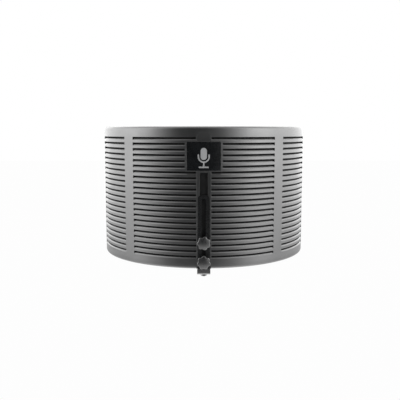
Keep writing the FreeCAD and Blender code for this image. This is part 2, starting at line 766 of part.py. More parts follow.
def build_badge_emblem():
    """A plain microphone sign: a capsule, the yoke under it, a stem and a foot, all one face high."""
    depth = "4 * FrameRise"
    y = "AxisOffset - ShellRadius + FrameRise"
    low = "(BadgeBottom + CapsuleBottom)"
    radius = "(CapsuleWidth / 2)"
    straight = "(CapsuleHeight - CapsuleWidth)"
    capsule_low = f"({low} + {radius})"
    capsule = joined("capsule", [
        cylinder("capsule_low_end", radius, depth, TO_THE_BACK, y=y, z=capsule_low),
        cylinder("capsule_high_end", radius, depth, TO_THE_BACK, y=y, z=f"{capsule_low} + {straight}"),
        box("capsule_middle", "CapsuleWidth", depth, straight, f"-{radius}", f"{y} - {depth}", capsule_low),
    ])
    yoke_inner = f"({radius} + YokeGap)"
    yoke_outer = f"({yoke_inner} + YokeThickness)"
    ring = less("yoke_ring", cylinder("yoke_outside", yoke_outer, depth, TO_THE_BACK, y=y, z=capsule_low),
                cylinder("yoke_inside", yoke_inner, depth, TO_THE_BACK, y=y, z=capsule_low))
    upper_half = box("yoke_trim", f"2 * {yoke_outer}", depth, yoke_outer, f"-{yoke_outer}",
                     f"{y} - {depth}", capsule_low)
    pieces = [less("yoke_arc", ring, upper_half)]
    for side in SIDES:
        x = yoke_inner if side > 0 else f"-{yoke_outer}"
        name = f"yoke_arm_{'right' if side > 0 else 'left'}"
        pieces.append(box(name, "YokeThickness", depth, "YokeArmHeight", x, f"{y} - {depth}", capsule_low))
    stem_low = f"({capsule_low} - {yoke_outer} - StemHeight)"
    stem_height = "StemHeight + YokeThickness / 2"
    pieces.append(box("stem", "YokeThickness", depth, stem_height, "-YokeThickness / 2",
                      f"{y} - {depth}", stem_low))
    pieces.append(box("foot_bar", "FootWidth", depth, "YokeThickness", "-FootWidth / 2", f"{y} - {depth}",
                      f"{stem_low} - YokeThickness"))
    sign = group("emblem_sign", [capsule, joined("yoke", pieces)])
    layer = less("emblem_layer",
                 cylinder("emblem_outside", f"{BADGE_FACE} + EmblemThickness", "BadgeHeight",
                          y="AxisOffset", z="BadgeBottom"),
                 cylinder("emblem_inside", BADGE_FACE, "BadgeHeight", y="AxisOffset", z="BadgeBottom"))
    emblem = doc.addObject("Part::Common", "badge_emblem")
    emblem.Base = sign
    emblem.Tool = layer
    emblem.Label = "badge_emblem"
    return emblem


def build_lift_bracket():
    body = new_body("lift_bracket")
    plate = new_sketch(body, "plate_outline", "XZ_Plane", PLATE_BACK)
    half = "PlateWidth / 2"
    tab = "TabWidth / 2"
    tab_top = "FootBottom + TabHeight"
    add_outline(plate, [
        (f"-{tab}", "FootBottom"),
        (tab, "FootBottom"),
        (tab, tab_top),
        (half, tab_top),
        (half, PLATE_TOP),
        (f"-{half}", PLATE_TOP),
        (f"-{half}", tab_top),
        (f"-{tab}", tab_top),
    ])
    feature(body, "Pad", "upright", plate, {"Length": "PlateThickness"})
    foot = new_sketch(body, "foot_outline", "XY_Plane", "FootBottom")
    inner_end = f"-({PLATE_FRONT} - FootLength)"
    add_outline(foot, rectangle(f"-{tab}", tab, f"-({PLATE_FRONT} - PlateThickness / 2)", inner_end))
    feature(body, "Pad", "foot", foot, {"Length": "PlateThickness"})
    plate_top = size_of("FootBottom") + size_of("PlateHeight")
    plate_back = size_of("ShellRadius") - size_of("RecessDepth") + size_of("RunningGap")
    front = plate_back + size_of("PlateThickness")

    def at_plate_corner(edge):
        flat = edge.BoundBox.XLength < NEAR and edge.BoundBox.ZLength < NEAR
        return flat and abs(edge.CenterOfMass.z - plate_top) < NEAR

    def at_bend(edge):
        centre = edge.CenterOfMass
        across = edge.BoundBox.XLength > size_of("PlateWidth")
        return across and abs(centre.z - size_of("FootBottom")) < NEAR and abs(centre.y + front) < NEAR

    round_edges(body, "plate_corners", "PlateCornerRadius", at_plate_corner)
    round_edges(body, "bend", "BendRadius", at_bend)
    cut_plate_slot(body)
    holes = new_sketch(body, "foot_hole_circles", "XY_Plane")
    for place in ("FirstBolt", "SecondBolt"):
        add_circle(holes, "0", f"{place} - AxisOffset", "BoltHoleRadius")
    cut_back(body, "foot_holes", holes, FOOT_TOP, outward=True)
    return body


def cut_plate_slot(body):
    """The studs' slot, and its two round ends."""
    slot = new_sketch(body, "slot_outline", "XZ_Plane", f"{PLATE_BACK} - PlateThickness")
    half = "PlateSlotWidth / 2"
    ends = (f"PlateSlotBottom + {half}", f"PlateSlotTop - {half}")
    add_outline(slot, rectangle(f"-{half}", half, *ends))
    cut_back(body, "slot", slot, "3 * PlateThickness", outward=True)
    for name, height in zip(("lower", "upper"), ends):
        end = new_sketch(body, f"slot_{name}_circle", "XZ_Plane", f"{PLATE_BACK} - PlateThickness")
        add_circle(end, "0", height, half)
        cut_back(body, f"slot_{name}_end", end, "3 * PlateThickness", outward=True)


def build_washer(name, height):
    body = new_body(name)
    sketch = new_sketch(body, f"{name}_circles", "XZ_Plane", WASHER_BACK)
    add_circle(sketch, "0", height, "WasherRadius")
    add_circle(sketch, "0", height, "StudRadius + 2 * RunningGap")
    feature(body, "Pad", f"{name}_disc", sketch, {"Length": "WasherThickness"})
    return body


def build_knob(name, height, turn):
    """A hub against the washer, then a lobed head turned by an angle, with a blind hole for its sleeve."""
    body = new_body(name)
    bind(body, "Placement.Base.z", height)
    hub = new_sketch(body, f"{name}_hub_circle", "XZ_Plane", KNOB_BACK)
    add_circle(hub, "0", "0", "KnobHubRadius")
    feature(body, "Pad", f"{name}_hub", hub, {"Length": "KnobHubHeight"})
    head = new_sketch(body, f"{name}_head_circle", "XZ_Plane", f"{KNOB_BACK} + KnobHubHeight")
    add_circle(head, "0", "0", "KnobCoreRadius")
    feature(body, "Pad", f"{name}_head", head, {"Length": "KnobHeadHeight"})
    lobe = new_sketch(body, f"{name}_lobe_circle", "XZ_Plane", f"{KNOB_BACK} + KnobHubHeight")
    add_circle(lobe, f"KnobLobeCircle * sin({turn})", f"KnobLobeCircle * cos({turn})", "KnobLobeRadius")
    lobe_pad = feature(body, "Pad", f"{name}_lobe", lobe, {"Length": "KnobHeadHeight"})
    doc.recompute()
    lobes = body.newObject("PartDesign::PolarPattern", f"{name}_lobes")
    lobes.Originals = [lobe_pad]
    y_axis = next(item for item in body.Origin.OriginFeatures if item.Role == "Y_Axis")
    lobes.Axis = (y_axis, [""])
    bind(lobes, "Occurrences", "KnobLobes")
    body.Tip = lobes
    doc.recompute()
    bore = new_sketch(body, f"{name}_bore_circle", "XZ_Plane", KNOB_BACK)
    add_circle(bore, "0", "0", "InsertRadius + InsertHoleGap")
    cut_back(body, f"{name}_bore", bore, "InsertLength + RunningGap", outward=True)
    return body


def build_knob_insert(name, height):
    body = new_body(name)
    sketch = new_sketch(body, f"{name}_circles", "XZ_Plane", KNOB_BACK)
    add_circle(sketch, "0", height, "InsertRadius")
    add_circle(sketch, "0", height, "StudRadius + RunningGap")
    feature(body, "Pad", f"{name}_sleeve", sketch, {"Length": "InsertLength"})
    return body


def build_support_arm():
    body = new_body("support_arm", forward=None)
    sketch = new_sketch(body, "arm_outline", "XY_Plane", ARM_BOTTOM)
    half = "ArmWidth / 2"
    add_outline(sketch, rectangle(f"-{half}", half, "ArmBack", "ArmFront"))
    feature(body, "Pad", "arm_bar", sketch, {"Length": "ArmThickness"})
    front = size_of("ArmFront")

    def at_front_corner(edge):
        upright = edge.BoundBox.XLength < NEAR and edge.BoundBox.YLength < NEAR
        return upright and abs(edge.CenterOfMass.y - front) < NEAR

    round_edges(body, "arm_nose", "ArmCornerRadius", at_front_corner)
    half = "ArmSlotWidth / 2"
    slots = (("stand", "-StandSlotReach", "StandSlotReach"), ("mic", "MicSlotBack", "MicSlotFront"))
    for name, back, front_end in slots:
        slot = new_sketch(body, f"{name}_slot_outline", "XY_Plane")
        ends = (f"({back} + {half})", f"({front_end} - {half})")
        add_outline(slot, rectangle(f"-{half}", half, *ends))
        cut_back(body, f"{name}_slot", slot, ARM_TOP, outward=True)
        for place, end in zip(("back", "front"), ends):
            circle = new_sketch(body, f"{name}_slot_{place}_circle", "XY_Plane")
            add_circle(circle, "0", end, half)
            cut_back(body, f"{name}_slot_{place}", circle, ARM_TOP, outward=True)
    holes = new_sketch(body, "arm_hole_circles", "XY_Plane")
    for place in ("FirstBolt", "SecondBolt"):
        add_circle(holes, "0", place, "BoltHoleRadius")
    cut_back(body, "arm_holes", holes, ARM_TOP, outward=True)
    return body


def build_bracket_bolts():
    bolts = []
    length = "PlateThickness + ArmThickness + BoltNutHeight + BoltPointHeight"
    for number, place in enumerate(("FirstBolt", "SecondBolt"), start=1):
        head = hexagon(f"bolt_head_{number}", "BoltHeadFlats", "BoltHeadHeight", place,
                       "FootBottom - BoltHeadHeight")
        shank = cylinder(f"bolt_shank_{number}", "BoltRadius", length, y=place, z="FootBottom")
        bolts.append(joined(f"bracket_bolt_{number}", [head, shank]))
    return group("bracket_bolts", bolts)


def build_bracket_nuts():
    nuts = []
    for number, place in enumerate(("FirstBolt", "SecondBolt"), start=1):
        name = f"bracket_nut_{number}"
        block = hexagon(f"{name}_block", "BoltHeadFlats", "BoltNutHeight", place, ARM_TOP)
        hole = cylinder(f"{name}_hole", "BoltRadius + RunningGap", "BoltNutHeight", y=place, z=ARM_TOP)
        nuts.append(less(name, block, hole))
    return group("bracket_nuts", nuts)


def build_stand_socket():
    """A round block with the stand's thread from below, and a stud up through the arm's slot."""
    stud = "ArmThickness + PostWasherThickness + PostNutHeight + PostPointHeight"
    block = cylinder("socket_block", "SocketRadius", ARM_BOTTOM)
    shank = cylinder("socket_stud", "PostStudRadius", stud, z=ARM_BOTTOM)
    thread = cylinder("socket_thread", "ThreadRadius", "ThreadDepth")
    return less("stand_socket", joined("socket_solid", [block, shank]), thread)


def build_post_washer(name, y, z):
    disc = cylinder(f"{name}_disc", "PostWasherRadius", "PostWasherThickness", y=y, z=z)
    hole = cylinder(f"{name}_hole", "PostStudRadius + 2 * RunningGap", "PostWasherThickness", y=y, z=z)
    return less(name, disc, hole)


def build_post_nut(name, y, z):
    block = hexagon(f"{name}_block", "PostNutFlats", "PostNutHeight", y, z)
    hole = cylinder(f"{name}_hole", "PostStudRadius + RunningGap", "PostNutHeight", y=y, z=z)
    return less(name, block, hole)


def build_mic_post():
    below = "(PostWasherThickness + PostNutHeight + PostPointHeight)"
    y = "MicPostPosition"
    post = joined("mic_post", [
        cylinder("post_flange", "PostFlangeRadius", "PostFlangeHeight", y=y, z=ARM_TOP),
        cylinder("post_thread", "ThreadRadius", "PostThreadHeight", y=y, z=f"{ARM_TOP} + PostFlangeHeight"),
        cylinder("post_stud", "PostStudRadius", f"ArmThickness + {below}", y=y, z=f"{ARM_BOTTOM} - {below}"),
    ])
    post.Label = "mic_post"
    return post


def build_all():
    under_arm = f"{ARM_BOTTOM} - PostWasherThickness"
    return [
        build_outer_shell(),
        build_outer_felt(),
        build_layer("foil_sheet", FOIL_OUTER, FOIL_INNER),
        build_spacer_strips(),
        build_perforated_sheet(),
        build_layer("inner_absorber", ABSORBER_OUTER, ABSORBER_INNER,
                    f"{RAIL_BOTTOM} + RailHeight + LayerGap", f"{RAIL_TOP} - RailHeight - LayerGap"),
        build_inner_frame(),
        build_frame_screws(),
        build_spine_plate(),
        build_mounting_studs(),
        build_spine_screws(),
        build_badge_plate(),
        build_badge_emblem(),
        build_lift_bracket(),
        build_washer("upper_washer", "UpperStudHeight"),
        build_washer("lower_washer", "LowerStudHeight"),
        build_knob("upper_knob", "UpperStudHeight", "UpperKnobTurn"),
        build_knob("lower_knob", "LowerStudHeight", "LowerKnobTurn"),
        build_knob_insert("upper_knob_insert", "UpperStudHeight"),
        build_knob_insert("lower_knob_insert", "LowerStudHeight"),
        build_support_arm(),
        build_bracket_bolts(),
        build_bracket_nuts(),
        build_stand_socket(),
        build_post_washer("socket_washer", "0", ARM_TOP),
        build_post_nut("socket_nut", "0", f"{ARM_TOP} + PostWasherThickness"),
        build_mic_post(),
        build_post_washer("mic_post_washer", "MicPostPosition", under_arm),
        build_post_nut("mic_post_nut", "MicPostPosition", f"{under_arm} - PostNutHeight"),
    ]


def check_document(pieces):
    doc.recompute()
    for item in doc.Objects:
        if "Invalid" in item.State or "Error" in item.State:
            raise RuntimeError(f"{item.Name} failed: {item.State}")
    for piece in pieces:
        if piece.Shape.isNull() or not piece.Shape.isValid() or not piece.Shape.Solids:
            raise RuntimeError(f"{piece.Label} has no sound solid")


def write_parts(pieces):
    os.makedirs("parts", exist_ok=True)
    for piece in pieces:
        piece.Shape.exportStep(f"parts/{piece.Label}.step")
        print(f"{piece.Label}: {len(piece.Shape.Solids)} solid(s), {piece.Shape.Volume:.0f} mm3")


fill_sheet()
all_pieces = build_all()
check_document(all_pieces)
write_parts(all_pieces)
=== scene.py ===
import math

import bmesh
import bpy
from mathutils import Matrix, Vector, noise


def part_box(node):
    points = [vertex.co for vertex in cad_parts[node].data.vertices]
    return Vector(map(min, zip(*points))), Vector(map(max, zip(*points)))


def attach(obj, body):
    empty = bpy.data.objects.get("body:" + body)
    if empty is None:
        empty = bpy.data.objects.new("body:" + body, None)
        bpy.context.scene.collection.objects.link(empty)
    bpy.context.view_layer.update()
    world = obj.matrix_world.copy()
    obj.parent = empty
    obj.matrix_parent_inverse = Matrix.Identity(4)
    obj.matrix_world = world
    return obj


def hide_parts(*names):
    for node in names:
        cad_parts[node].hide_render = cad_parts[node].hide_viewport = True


# Looks for the microphone isolation shield. Metres, +Z up, the convex back towards -Y.

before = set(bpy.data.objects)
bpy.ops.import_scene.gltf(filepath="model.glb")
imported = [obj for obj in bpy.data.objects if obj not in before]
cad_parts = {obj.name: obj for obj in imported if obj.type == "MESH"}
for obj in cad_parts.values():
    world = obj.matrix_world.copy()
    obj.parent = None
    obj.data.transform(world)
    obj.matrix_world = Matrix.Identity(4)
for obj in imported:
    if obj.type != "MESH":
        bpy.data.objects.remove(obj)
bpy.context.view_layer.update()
MM = 0.001
DEGREE = math.pi / 180
SLACK = 1e-6
FINE_SEGMENTS = 3

# Places read from the CAD parts.
SHELL_LOW, SHELL_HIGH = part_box("outer_shell")
BADGE_LOW, BADGE_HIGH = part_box("badge_plate")
ARM_LOW, ARM_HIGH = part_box("support_arm")
BRACKET_LOW, BRACKET_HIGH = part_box("lift_bracket")
AXIS_Y = SHELL_HIGH.y
BOTTOM = SHELL_LOW.z
TOP = SHELL_HIGH.z

# Shell. Angles count from the middle of the back, radii from the shell's upright axis.
FRAME_RISE = 2.5 * MM
RADIUS = AXIS_Y - SHELL_LOW.y - FRAME_RISE
WALL = 3 * MM
LIP_RADIUS = 156 * MM
FLANGE_MIDDLE = 180 * MM
TOP_ROUND = 5.5 * MM
BOTTOM_ROUND = 4.5 * MM
END_ROUND = 5 * MM
ROUND_STEPS = 6
END_STEPS = 5
WALL_EDGE = 0.35 * MM
LAST_RADIAL = 87.8 * DEGREE
COLUMN_STEP = 1.25 * DEGREE
SLOT_ROWS = 22
SLOT_PITCH = 10 * MM
SLOT_OPENING = 3.4 * MM
SLOT_BEVEL = 2.0 * MM
SLOT_BEVEL_DEPTH = 1.6 * MM
PLAIN_BAND = 20.5 * MM
BADGE_ROWS = range(1, 6)
INNER_BAY = (3.75 * DEGREE, 39.3 * DEGREE)
BADGE_BAY = (9.4 * DEGREE, 39.3 * DEGREE)
OUTER_BAY = (45.8 * DEGREE, 77.5 * DEGREE)
PAD_HALF = 12.9 * MM
PAD_RISE = 2 * MM
PAD_EDGE = 0.2 * MM
RECESS_HALF = 10.6 * MM
RECESS_DEPTH = 1 * MM
RECESS_GAP = 0.5 * MM
RECESS_TOP = BRACKET_HIGH.z + RECESS_GAP
RECESS_ROUND = 5.8 * MM
PAD_DROP = 10.5 * MM
PAD_TOP = TOP - PAD_DROP
PAD_CORNER = (4 * MM, 8 * MM)
PAD_FOOT = 0.8 * MM
PAD_OVERLAP = 1 * MM
SEAT_GAP = 0.2 * MM
SEAT_STEPS = (1.5 * DEGREE, 10 * MM)
FRAME_BORDER = 1.8 * MM
WINDOW_HALF = 7.4 * MM
WINDOW_LENGTH = 122 * MM
WINDOW_LOW = RECESS_TOP - WINDOW_LENGTH
WINDOW_DROP = 1.6 * MM
WINDOW_HIGH = BADGE_LOW.z - SEAT_GAP - FRAME_BORDER - WINDOW_DROP


def polar(angle, radius, z):
    return Vector((radius * math.sin(angle), AXIS_Y - radius * math.cos(angle), z))


def angle_at(across):
    """The angle from the middle at which the wall stands this far to the side."""
    return math.asin(across / RADIUS)


def smooth_step(value):
    value = min(max(value, 0), 1)
    return value * value * (3 - 2 * value)


def steps_between(marks, step):
    """Sorted marks, with even steps no longer than the given one filled in between them."""
    marks = sorted(set(marks))
    filled = []
    for low, high in zip(marks, marks[1:]):
        count = max(1, math.ceil((high - low) / step - SLACK))
        filled += [low + (high - low) * number / count for number in range(count)]
    return filled + [marks[-1]]


class Skin:
    """Collects points by key and faces by key, then makes one object."""

    def __init__(self):
        self.index = {}
        self.points = []
        self.faces = []

    def point(self, key, place):
        if key not in self.index:
            self.index[key] = len(self.points)
            self.points.append(place)
        return self.index[key]

    def face(self, *corners):
        unique = list(dict.fromkeys(corners))
        if len(unique) > 2:
            self.faces.append(unique)

    def build(self, name):
        mesh = bpy.data.meshes.new(name)
        mesh.from_pydata(self.points, [], self.faces)
        mesh.validate()
        item = bpy.data.objects.new(name, mesh)
        bpy.context.scene.collection.objects.link(item)
        return outward(item)


def outward(item):
    """Turns every face of a closed mesh outward and shades it smooth."""
    work = bmesh.new()
    work.from_mesh(item.data)
    bmesh.ops.recalc_face_normals(work, faces=work.faces)
    for face in work.faces:
        face.smooth = True
    work.to_mesh(item.data)
    work.free()
    return item


def soften(item, width, segments=2, angle=30 * DEGREE):
    """Small rounded edges with flat neighbours left flat."""
    bevel = item.modifiers.new("edges", "BEVEL")
    bevel.width = width
    bevel.segments = segments
    bevel.limit_method = "ANGLE"
    bevel.angle_limit = angle
    bevel.harden_normals = True
    bevel.use_clamp_overlap = True
    return item


def finish_piece(item, body, material, slot, *stands_for):
    """Gives a piece its material and body, and takes the place of the CAD nodes it stands for. The slot is
    not used.
    """
    item.data.materials.clear()
    item.data.materials.append(material)
    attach(item, body)
    if stands_for:
        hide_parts(*stands_for)


def first_only(number, node):
    """Of several copies, the first takes the CAD node's place."""
    return [node] if number == 1 else []


# ---- materials


WEAR = (0.52, 0.62)
TAB_FADE = 1 * MM


def grey(value, warmth=0.0):
    return (value * (1 + warmth), value, value * (1 - warmth), 1)


def add_node(tree, kind, output, inputs, **settings):
    """A node with its inputs set to values or fed by other nodes' outputs. Returns one of its own outputs."""
    node = tree.nodes.new(f"ShaderNode{kind}")
    for name, value in settings.items():
        setattr(node, name, value)
    for name, value in inputs.items():
        if isinstance(value, bpy.types.NodeSocket):
            tree.links.new(value, node.inputs[name])
        else:
            node.inputs[name].default_value = value
    return node.outputs[output]


def add_mix(tree, how, factor, first, second):
    inputs = {"Factor": factor, "A": first, "B": second}
    return add_node(tree, "Mix", "Result", inputs, data_type="RGBA", blend_type=how)


def add_ramp(tree, source, stops):
    """Colours spread over a factor, from pairs of a place and a colour."""
    node = tree.nodes.new("ShaderNodeValToRGB")
    tree.links.new(source, node.inputs["Fac"])
    while len(node.color_ramp.elements) < len(stops):
        node.color_ramp.elements.new(1.0)
    for element, (place, color) in zip(node.color_ramp.elements, stops):
        element.position = place
        element.color = color
    return node.outputs["Color"]


class Recipe:
    """A node material on the Principled shader, fed by object coordinates in metres."""

    def __init__(self, name):
        self.material = bpy.data.materials.new(name)
        self.material.use_nodes = True
        self.tree = self.material.node_tree
        self.shader = self.tree.nodes["Principled BSDF"]
        self.place = add_node(self.tree, "TexCoord", "Object", {})
        self.height = None

    def set(self, **values):
        for name, value in values.items():
            self.shader.inputs[name.replace("_", " ")].default_value = value

    def feed(self, name, source):
        self.tree.links.new(source, self.shader.inputs[name])

    def noise(self, scale, detail=4, stretch=(1, 1, 1)):
        """Cloudy noise; its scale is in waves per metre."""
        place = add_node(self.tree, "Mapping", "Vector", {"Scale": stretch, "Vector": self.place})
        inputs = {"Scale": scale, "Detail": detail, "Vector": place}
        return add_node(self.tree, "TexNoise", "Fac", inputs)

    def cells(self, scale):
        return add_node(self.tree, "TexVoronoi", "Distance", {"Scale": scale, "Vector": self.place})

    def level(self, low, high):
        """A factor that rises from 0 to 1 between two heights."""
        height = add_node(self.tree, "SeparateXYZ", "Z", {"Vector": self.place})
        return add_node(self.tree, "MapRange", "Result", {"From Min": low, "From Max": high, "Value": height})

    def ramp(self, source, low, high, start=0.3, end=0.7):
        """Maps a factor between two greys or colours."""
        ends = [value if isinstance(value, tuple) else grey(value) for value in (low, high)]
        return add_ramp(self.tree, source, list(zip((start, end), ends)))

    def mix(self, factor, first, second):
        return add_mix(self.tree, "MIX", factor, first, second)

    def color(self, source):
        self.feed("Base Color", source)

    def roughness(self, low, high, scale, detail=4):
        """Cloudy roughness between two values."""
        self.feed("Roughness", self.ramp(self.noise(scale, detail), low, high))

    def bump(self, source, strength, distance):
        """Adds bumps on top of any before them."""
        inputs = {"Strength": strength, "Distance": distance, "Height": source}
        if self.height:
            inputs["Normal"] = self.height
        self.height = add_node(self.tree, "Bump", "Normal", inputs)
        self.feed("Normal", self.height)
        return self

    def worn_edges(self, base, bare):
        """Lighter paint where the surface turns sharply."""
        bend = add_node(self.tree, "NewGeometry", "Pointiness", {})
        return self.mix(self.ramp(bend, 0.0, 1.0, *WEAR), base, bare)


def shell_paint():
    recipe = Recipe("shell_paint")
    recipe.set(Metallic=1.0)
    flakes = recipe.ramp(recipe.noise(2600, 2), grey(0.170), grey(0.240))
    drift = recipe.ramp(recipe.noise(9, 3), grey(0.185), grey(0.215))
    recipe.color(recipe.mix(recipe.noise(500, 1), flakes, drift))
    recipe.roughness(0.30, 0.37, 40, 5)
    return recipe.bump(recipe.noise(1900, 3), 0.10, 0.25 * MM).material


def powder_coat():
    recipe = Recipe("black_powder_coat")
    recipe.set(Specular_IOR_Level=0.3)
    base = recipe.ramp(recipe.noise(30), grey(0.003, -0.1), grey(0.006, -0.1))
    recipe.color(recipe.worn_edges(base, recipe.ramp(recipe.noise(80), grey(0.014), grey(0.03))))
    recipe.roughness(0.32, 0.44, 200)
    return recipe.bump(recipe.cells(1400), 0.14, 0.25 * MM).material


def bracket_coat():
    """Black powder coat, with the shell's grey metal paint on the tab that hangs below the shell."""
    recipe = Recipe("bracket_coat")
    recipe.set(Specular_IOR_Level=1.0)
    level = recipe.level(BOTTOM - TAB_FADE, BOTTOM + TAB_FADE)
    black = recipe.ramp(recipe.noise(30), grey(0.003, -0.1), grey(0.006, -0.1))
    paint = recipe.ramp(recipe.noise(900, 2), grey(0.28), grey(0.36))
    recipe.color(recipe.mix(level, paint, black))
    recipe.feed("Metallic", recipe.ramp(level, 1.0, 0.0, 0.0, 1.0))
    recipe.roughness(0.24, 0.32, 200)
    return recipe.bump(recipe.cells(1400), 0.10, 0.2 * MM).material


def felt(name, dark, light, fibre_scale):
    recipe = Recipe(name)
    recipe.set(Sheen_Weight=0.08, Sheen_Roughness=0.6, Specular_IOR_Level=0.1)
    tufts = recipe.ramp(recipe.noise(fibre_scale, 8), dark, light)
    clouds = recipe.ramp(recipe.noise(45, 4), dark, light)
    recipe.color(recipe.mix(recipe.noise(fibre_scale / 3, 3), tufts, clouds))
    recipe.roughness(0.9, 1.0, 300)
    recipe.bump(recipe.noise(fibre_scale * 1.6, 10, (1, 1, 0.25)), 0.6, 0.8 * MM)
    return recipe.bump(recipe.noise(fibre_scale * 0.5, 6), 0.5, 1.2 * MM).material


def foam():
    recipe = Recipe("foam")
    recipe.color(recipe.ramp(recipe.cells(900), grey(0.012), grey(0.045)))
    recipe.roughness(0.85, 0.98, 150)
    return recipe.bump(recipe.cells(1300), 0.7, 0.6 * MM).material


def moulded_nylon():
    recipe = Recipe("black_nylon")
    recipe.set(IOR=2.0, Specular_IOR_Level=1.0)
    base = recipe.ramp(recipe.noise(40), grey(0.004), grey(0.008))
    recipe.color(recipe.worn_edges(base, recipe.ramp(recipe.noise(90), grey(0.03), grey(0.06))))
    recipe.roughness(0.24, 0.34, 120, 6)
    return recipe.bump(recipe.noise(2400, 4), 0.16, 0.2 * MM).material


def badge_black():
    recipe = Recipe("badge_black")
    recipe.set(Coat_Weight=0.2, Coat_Roughness=0.2)
    recipe.color(recipe.ramp(recipe.noise(70), grey(0.004, -0.15), grey(0.008, -0.15)))
    recipe.roughness(0.22, 0.32, 160)
    return recipe.bump(recipe.noise(1500, 3), 0.06, 0.2 * MM).material


def emblem_silver():
    recipe = Recipe("emblem_silver")
    recipe.set(Metallic=0.25, Coat_Weight=0.15, Coat_Roughness=0.25)
    brushed = recipe.noise(420, 5, (14, 1, 1))
    recipe.color(recipe.ramp(brushed, grey(0.46, -0.01), grey(0.58, -0.01)))
    recipe.roughness(0.34, 0.46, 120, 4)
    return recipe.bump(brushed, 0.06, 0.1 * MM).material


def machined(name, dark, light, rough_low, rough_high):
    """Metal with fine level lines, as turning or rolling leaves."""
    recipe = Recipe(name)
    recipe.set(Metallic=1.0)
    lines = recipe.noise(350, 6, (1, 1, 12))
    recipe.color(recipe.ramp(lines, dark, light))
    recipe.roughness(rough_low, rough_high, 90, 5)
    return recipe.bump(lines, 0.08, 0.15 * MM).material


def spangled_foil():
    recipe = Recipe("foil")
    recipe.set(Metallic=1.0)
    recipe.color(recipe.ramp(recipe.noise(25), grey(0.70), grey(0.82)))
    recipe.roughness(0.28, 0.45, 60, 6)
    return recipe.bump(recipe.noise(18, 8), 0.3, 1.5 * MM).material


PAINT = shell_paint()
POWDER = powder_coat()
BRACKET = bracket_coat()
BLACK_FELT = felt("black_felt", grey(0.007), grey(0.020), 700)
GREY_FELT = felt("grey_felt", grey(0.020), grey(0.062), 520)
FOAM = foam()
NYLON = moulded_nylon()
BADGE = badge_black()
EMBLEM = emblem_silver()
ZINC = machined("zinc_steel", grey(0.34, 0.02), grey(0.46, -0.02), 0.28, 0.42)
STEEL = machined("bright_steel", grey(0.40), grey(0.52), 0.20, 0.32)
BLACK_ZINC = machined("black_zinc", grey(0.030), grey(0.060), 0.26, 0.40)
BLACK_SCREW = machined("black_screws", grey(0.020), grey(0.045), 0.32, 0.46)
BRASS = machined("brass_insert", (0.55, 0.38, 0.14, 1), (0.72, 0.52, 0.22, 1), 0.22, 0.34)
PUNCHED = machined("perforated_aluminium", grey(0.42), grey(0.52), 0.35, 0.48)
FOIL = spangled_foil()


# ---- shell wall


def slot_edges(row):
    """Heights of a slot's bevel end, lower lip and upper lip."""
    centre = TOP - PLAIN_BAND - row * SLOT_PITCH
    lower = centre - SLOT_OPENING / 2
    return lower - SLOT_BEVEL, lower, centre + SLOT_OPENING / 2


def bays_of(row):
    return (BADGE_BAY if row in BADGE_ROWS else INNER_BAY), OUTER_BAY


def in_bay(row, angle):
    return any(start < abs(angle) < end for start, end in bays_of(row))


def cell_kind(angle, z):
    """What the wall is at a point: open, bevel (a slot's sloping lower lip) or solid."""
    across = RADIUS * math.sin(abs(angle))
    if across < WINDOW_HALF and WINDOW_LOW < z < WINDOW_HIGH:
        return "open"
    for row in range(SLOT_ROWS):
        bevel, lower, upper = slot_edges(row)
        if bevel < z < upper and in_bay(row, angle):
            return "bevel" if z < lower else "open"
    return "solid"


def wall_columns():
    """Angles of the wall's columns, then the end columns' distances from the end face."""
    marks = [0, LAST_RADIAL]
    marks += [angle_at(half) for half in (WINDOW_HALF, RECESS_HALF, PAD_HALF)]
    marks += [edge for bay in (INNER_BAY, BADGE_BAY, OUTER_BAY) for edge in bay]
    marks += [-mark for mark in marks]
    angles = steps_between(marks, COLUMN_STEP)
    plate_turn = math.asin((END_ROUND - WALL) / END_ROUND)
    rest = math.pi / 2 - plate_turn
    turns = [0, plate_turn] + [plate_turn + rest * step / END_STEPS for step in range(1, END_STEPS + 1)]
    right = [("end", 1, turn) for turn in turns]
    left = [("end", -1, turn) for turn in reversed(turns)]
    return left + [("radial", 1, angle) for angle in angles] + right


def wall_heights():
    marks = [BOTTOM + BOTTOM_ROUND, TOP - TOP_ROUND, WINDOW_LOW, WINDOW_HIGH, RECESS_TOP]
    for row in range(SLOT_ROWS):
        marks += slot_edges(row)
    return sorted(marks)


def outer_profile():
    """The section's outside from the bottom lip round to the top lip, as radius and height."""
    quarter = [math.pi / 2 * step / ROUND_STEPS for step in range(ROUND_STEPS)]
    curve = [(1 - math.sin(turn), 1 - math.cos(turn)) for turn in quarter]
    low = [(LIP_RADIUS, BOTTOM + WALL), (LIP_RADIUS, BOTTOM), (FLANGE_MIDDLE, BOTTOM)]
    low += [(RADIUS - BOTTOM_ROUND * inward, BOTTOM + BOTTOM_ROUND * rise) for inward, rise in curve]
    wall = [(RADIUS, z) for z in wall_heights()]
    high = [(RADIUS - TOP_ROUND * inward, TOP - TOP_ROUND * drop) for inward, drop in reversed(curve)]
    high += [(FLANGE_MIDDLE, TOP), (LIP_RADIUS, TOP), (LIP_RADIUS, TOP - WALL)]
    return low, wall, high


def place_on(column, radius, z):
    """A point of the shell's section on one column; the end columns pull in to round the corner."""
    kind, side, turn = column
    if kind == "radial":
        depth = radius * math.cos(turn)
        in_recess = abs(radius * math.sin(turn)) <= RECESS_HALF + SLACK and z <= RECESS_TOP + SLACK
        if in_recess:
            depth = min(depth, RADIUS - RECESS_DEPTH)
        return Vector((radius * math.sin(turn), AXIS_Y - depth, z))
    from_end = END_ROUND * (1 - math.sin(turn))
    pull = END_ROUND * (1 - math.cos(turn)) if radius > RADIUS - 2 * TOP_ROUND else 0
    return Vector((side * (radius - pull), AXIS_Y - from_end, z))


def in_plate(*columns):
    """True if any of the columns lies inside an end plate's thickness."""
    return any(kind == "end" and END_ROUND * (1 - math.sin(turn)) < WALL - SLACK for kind, _, turn in columns)


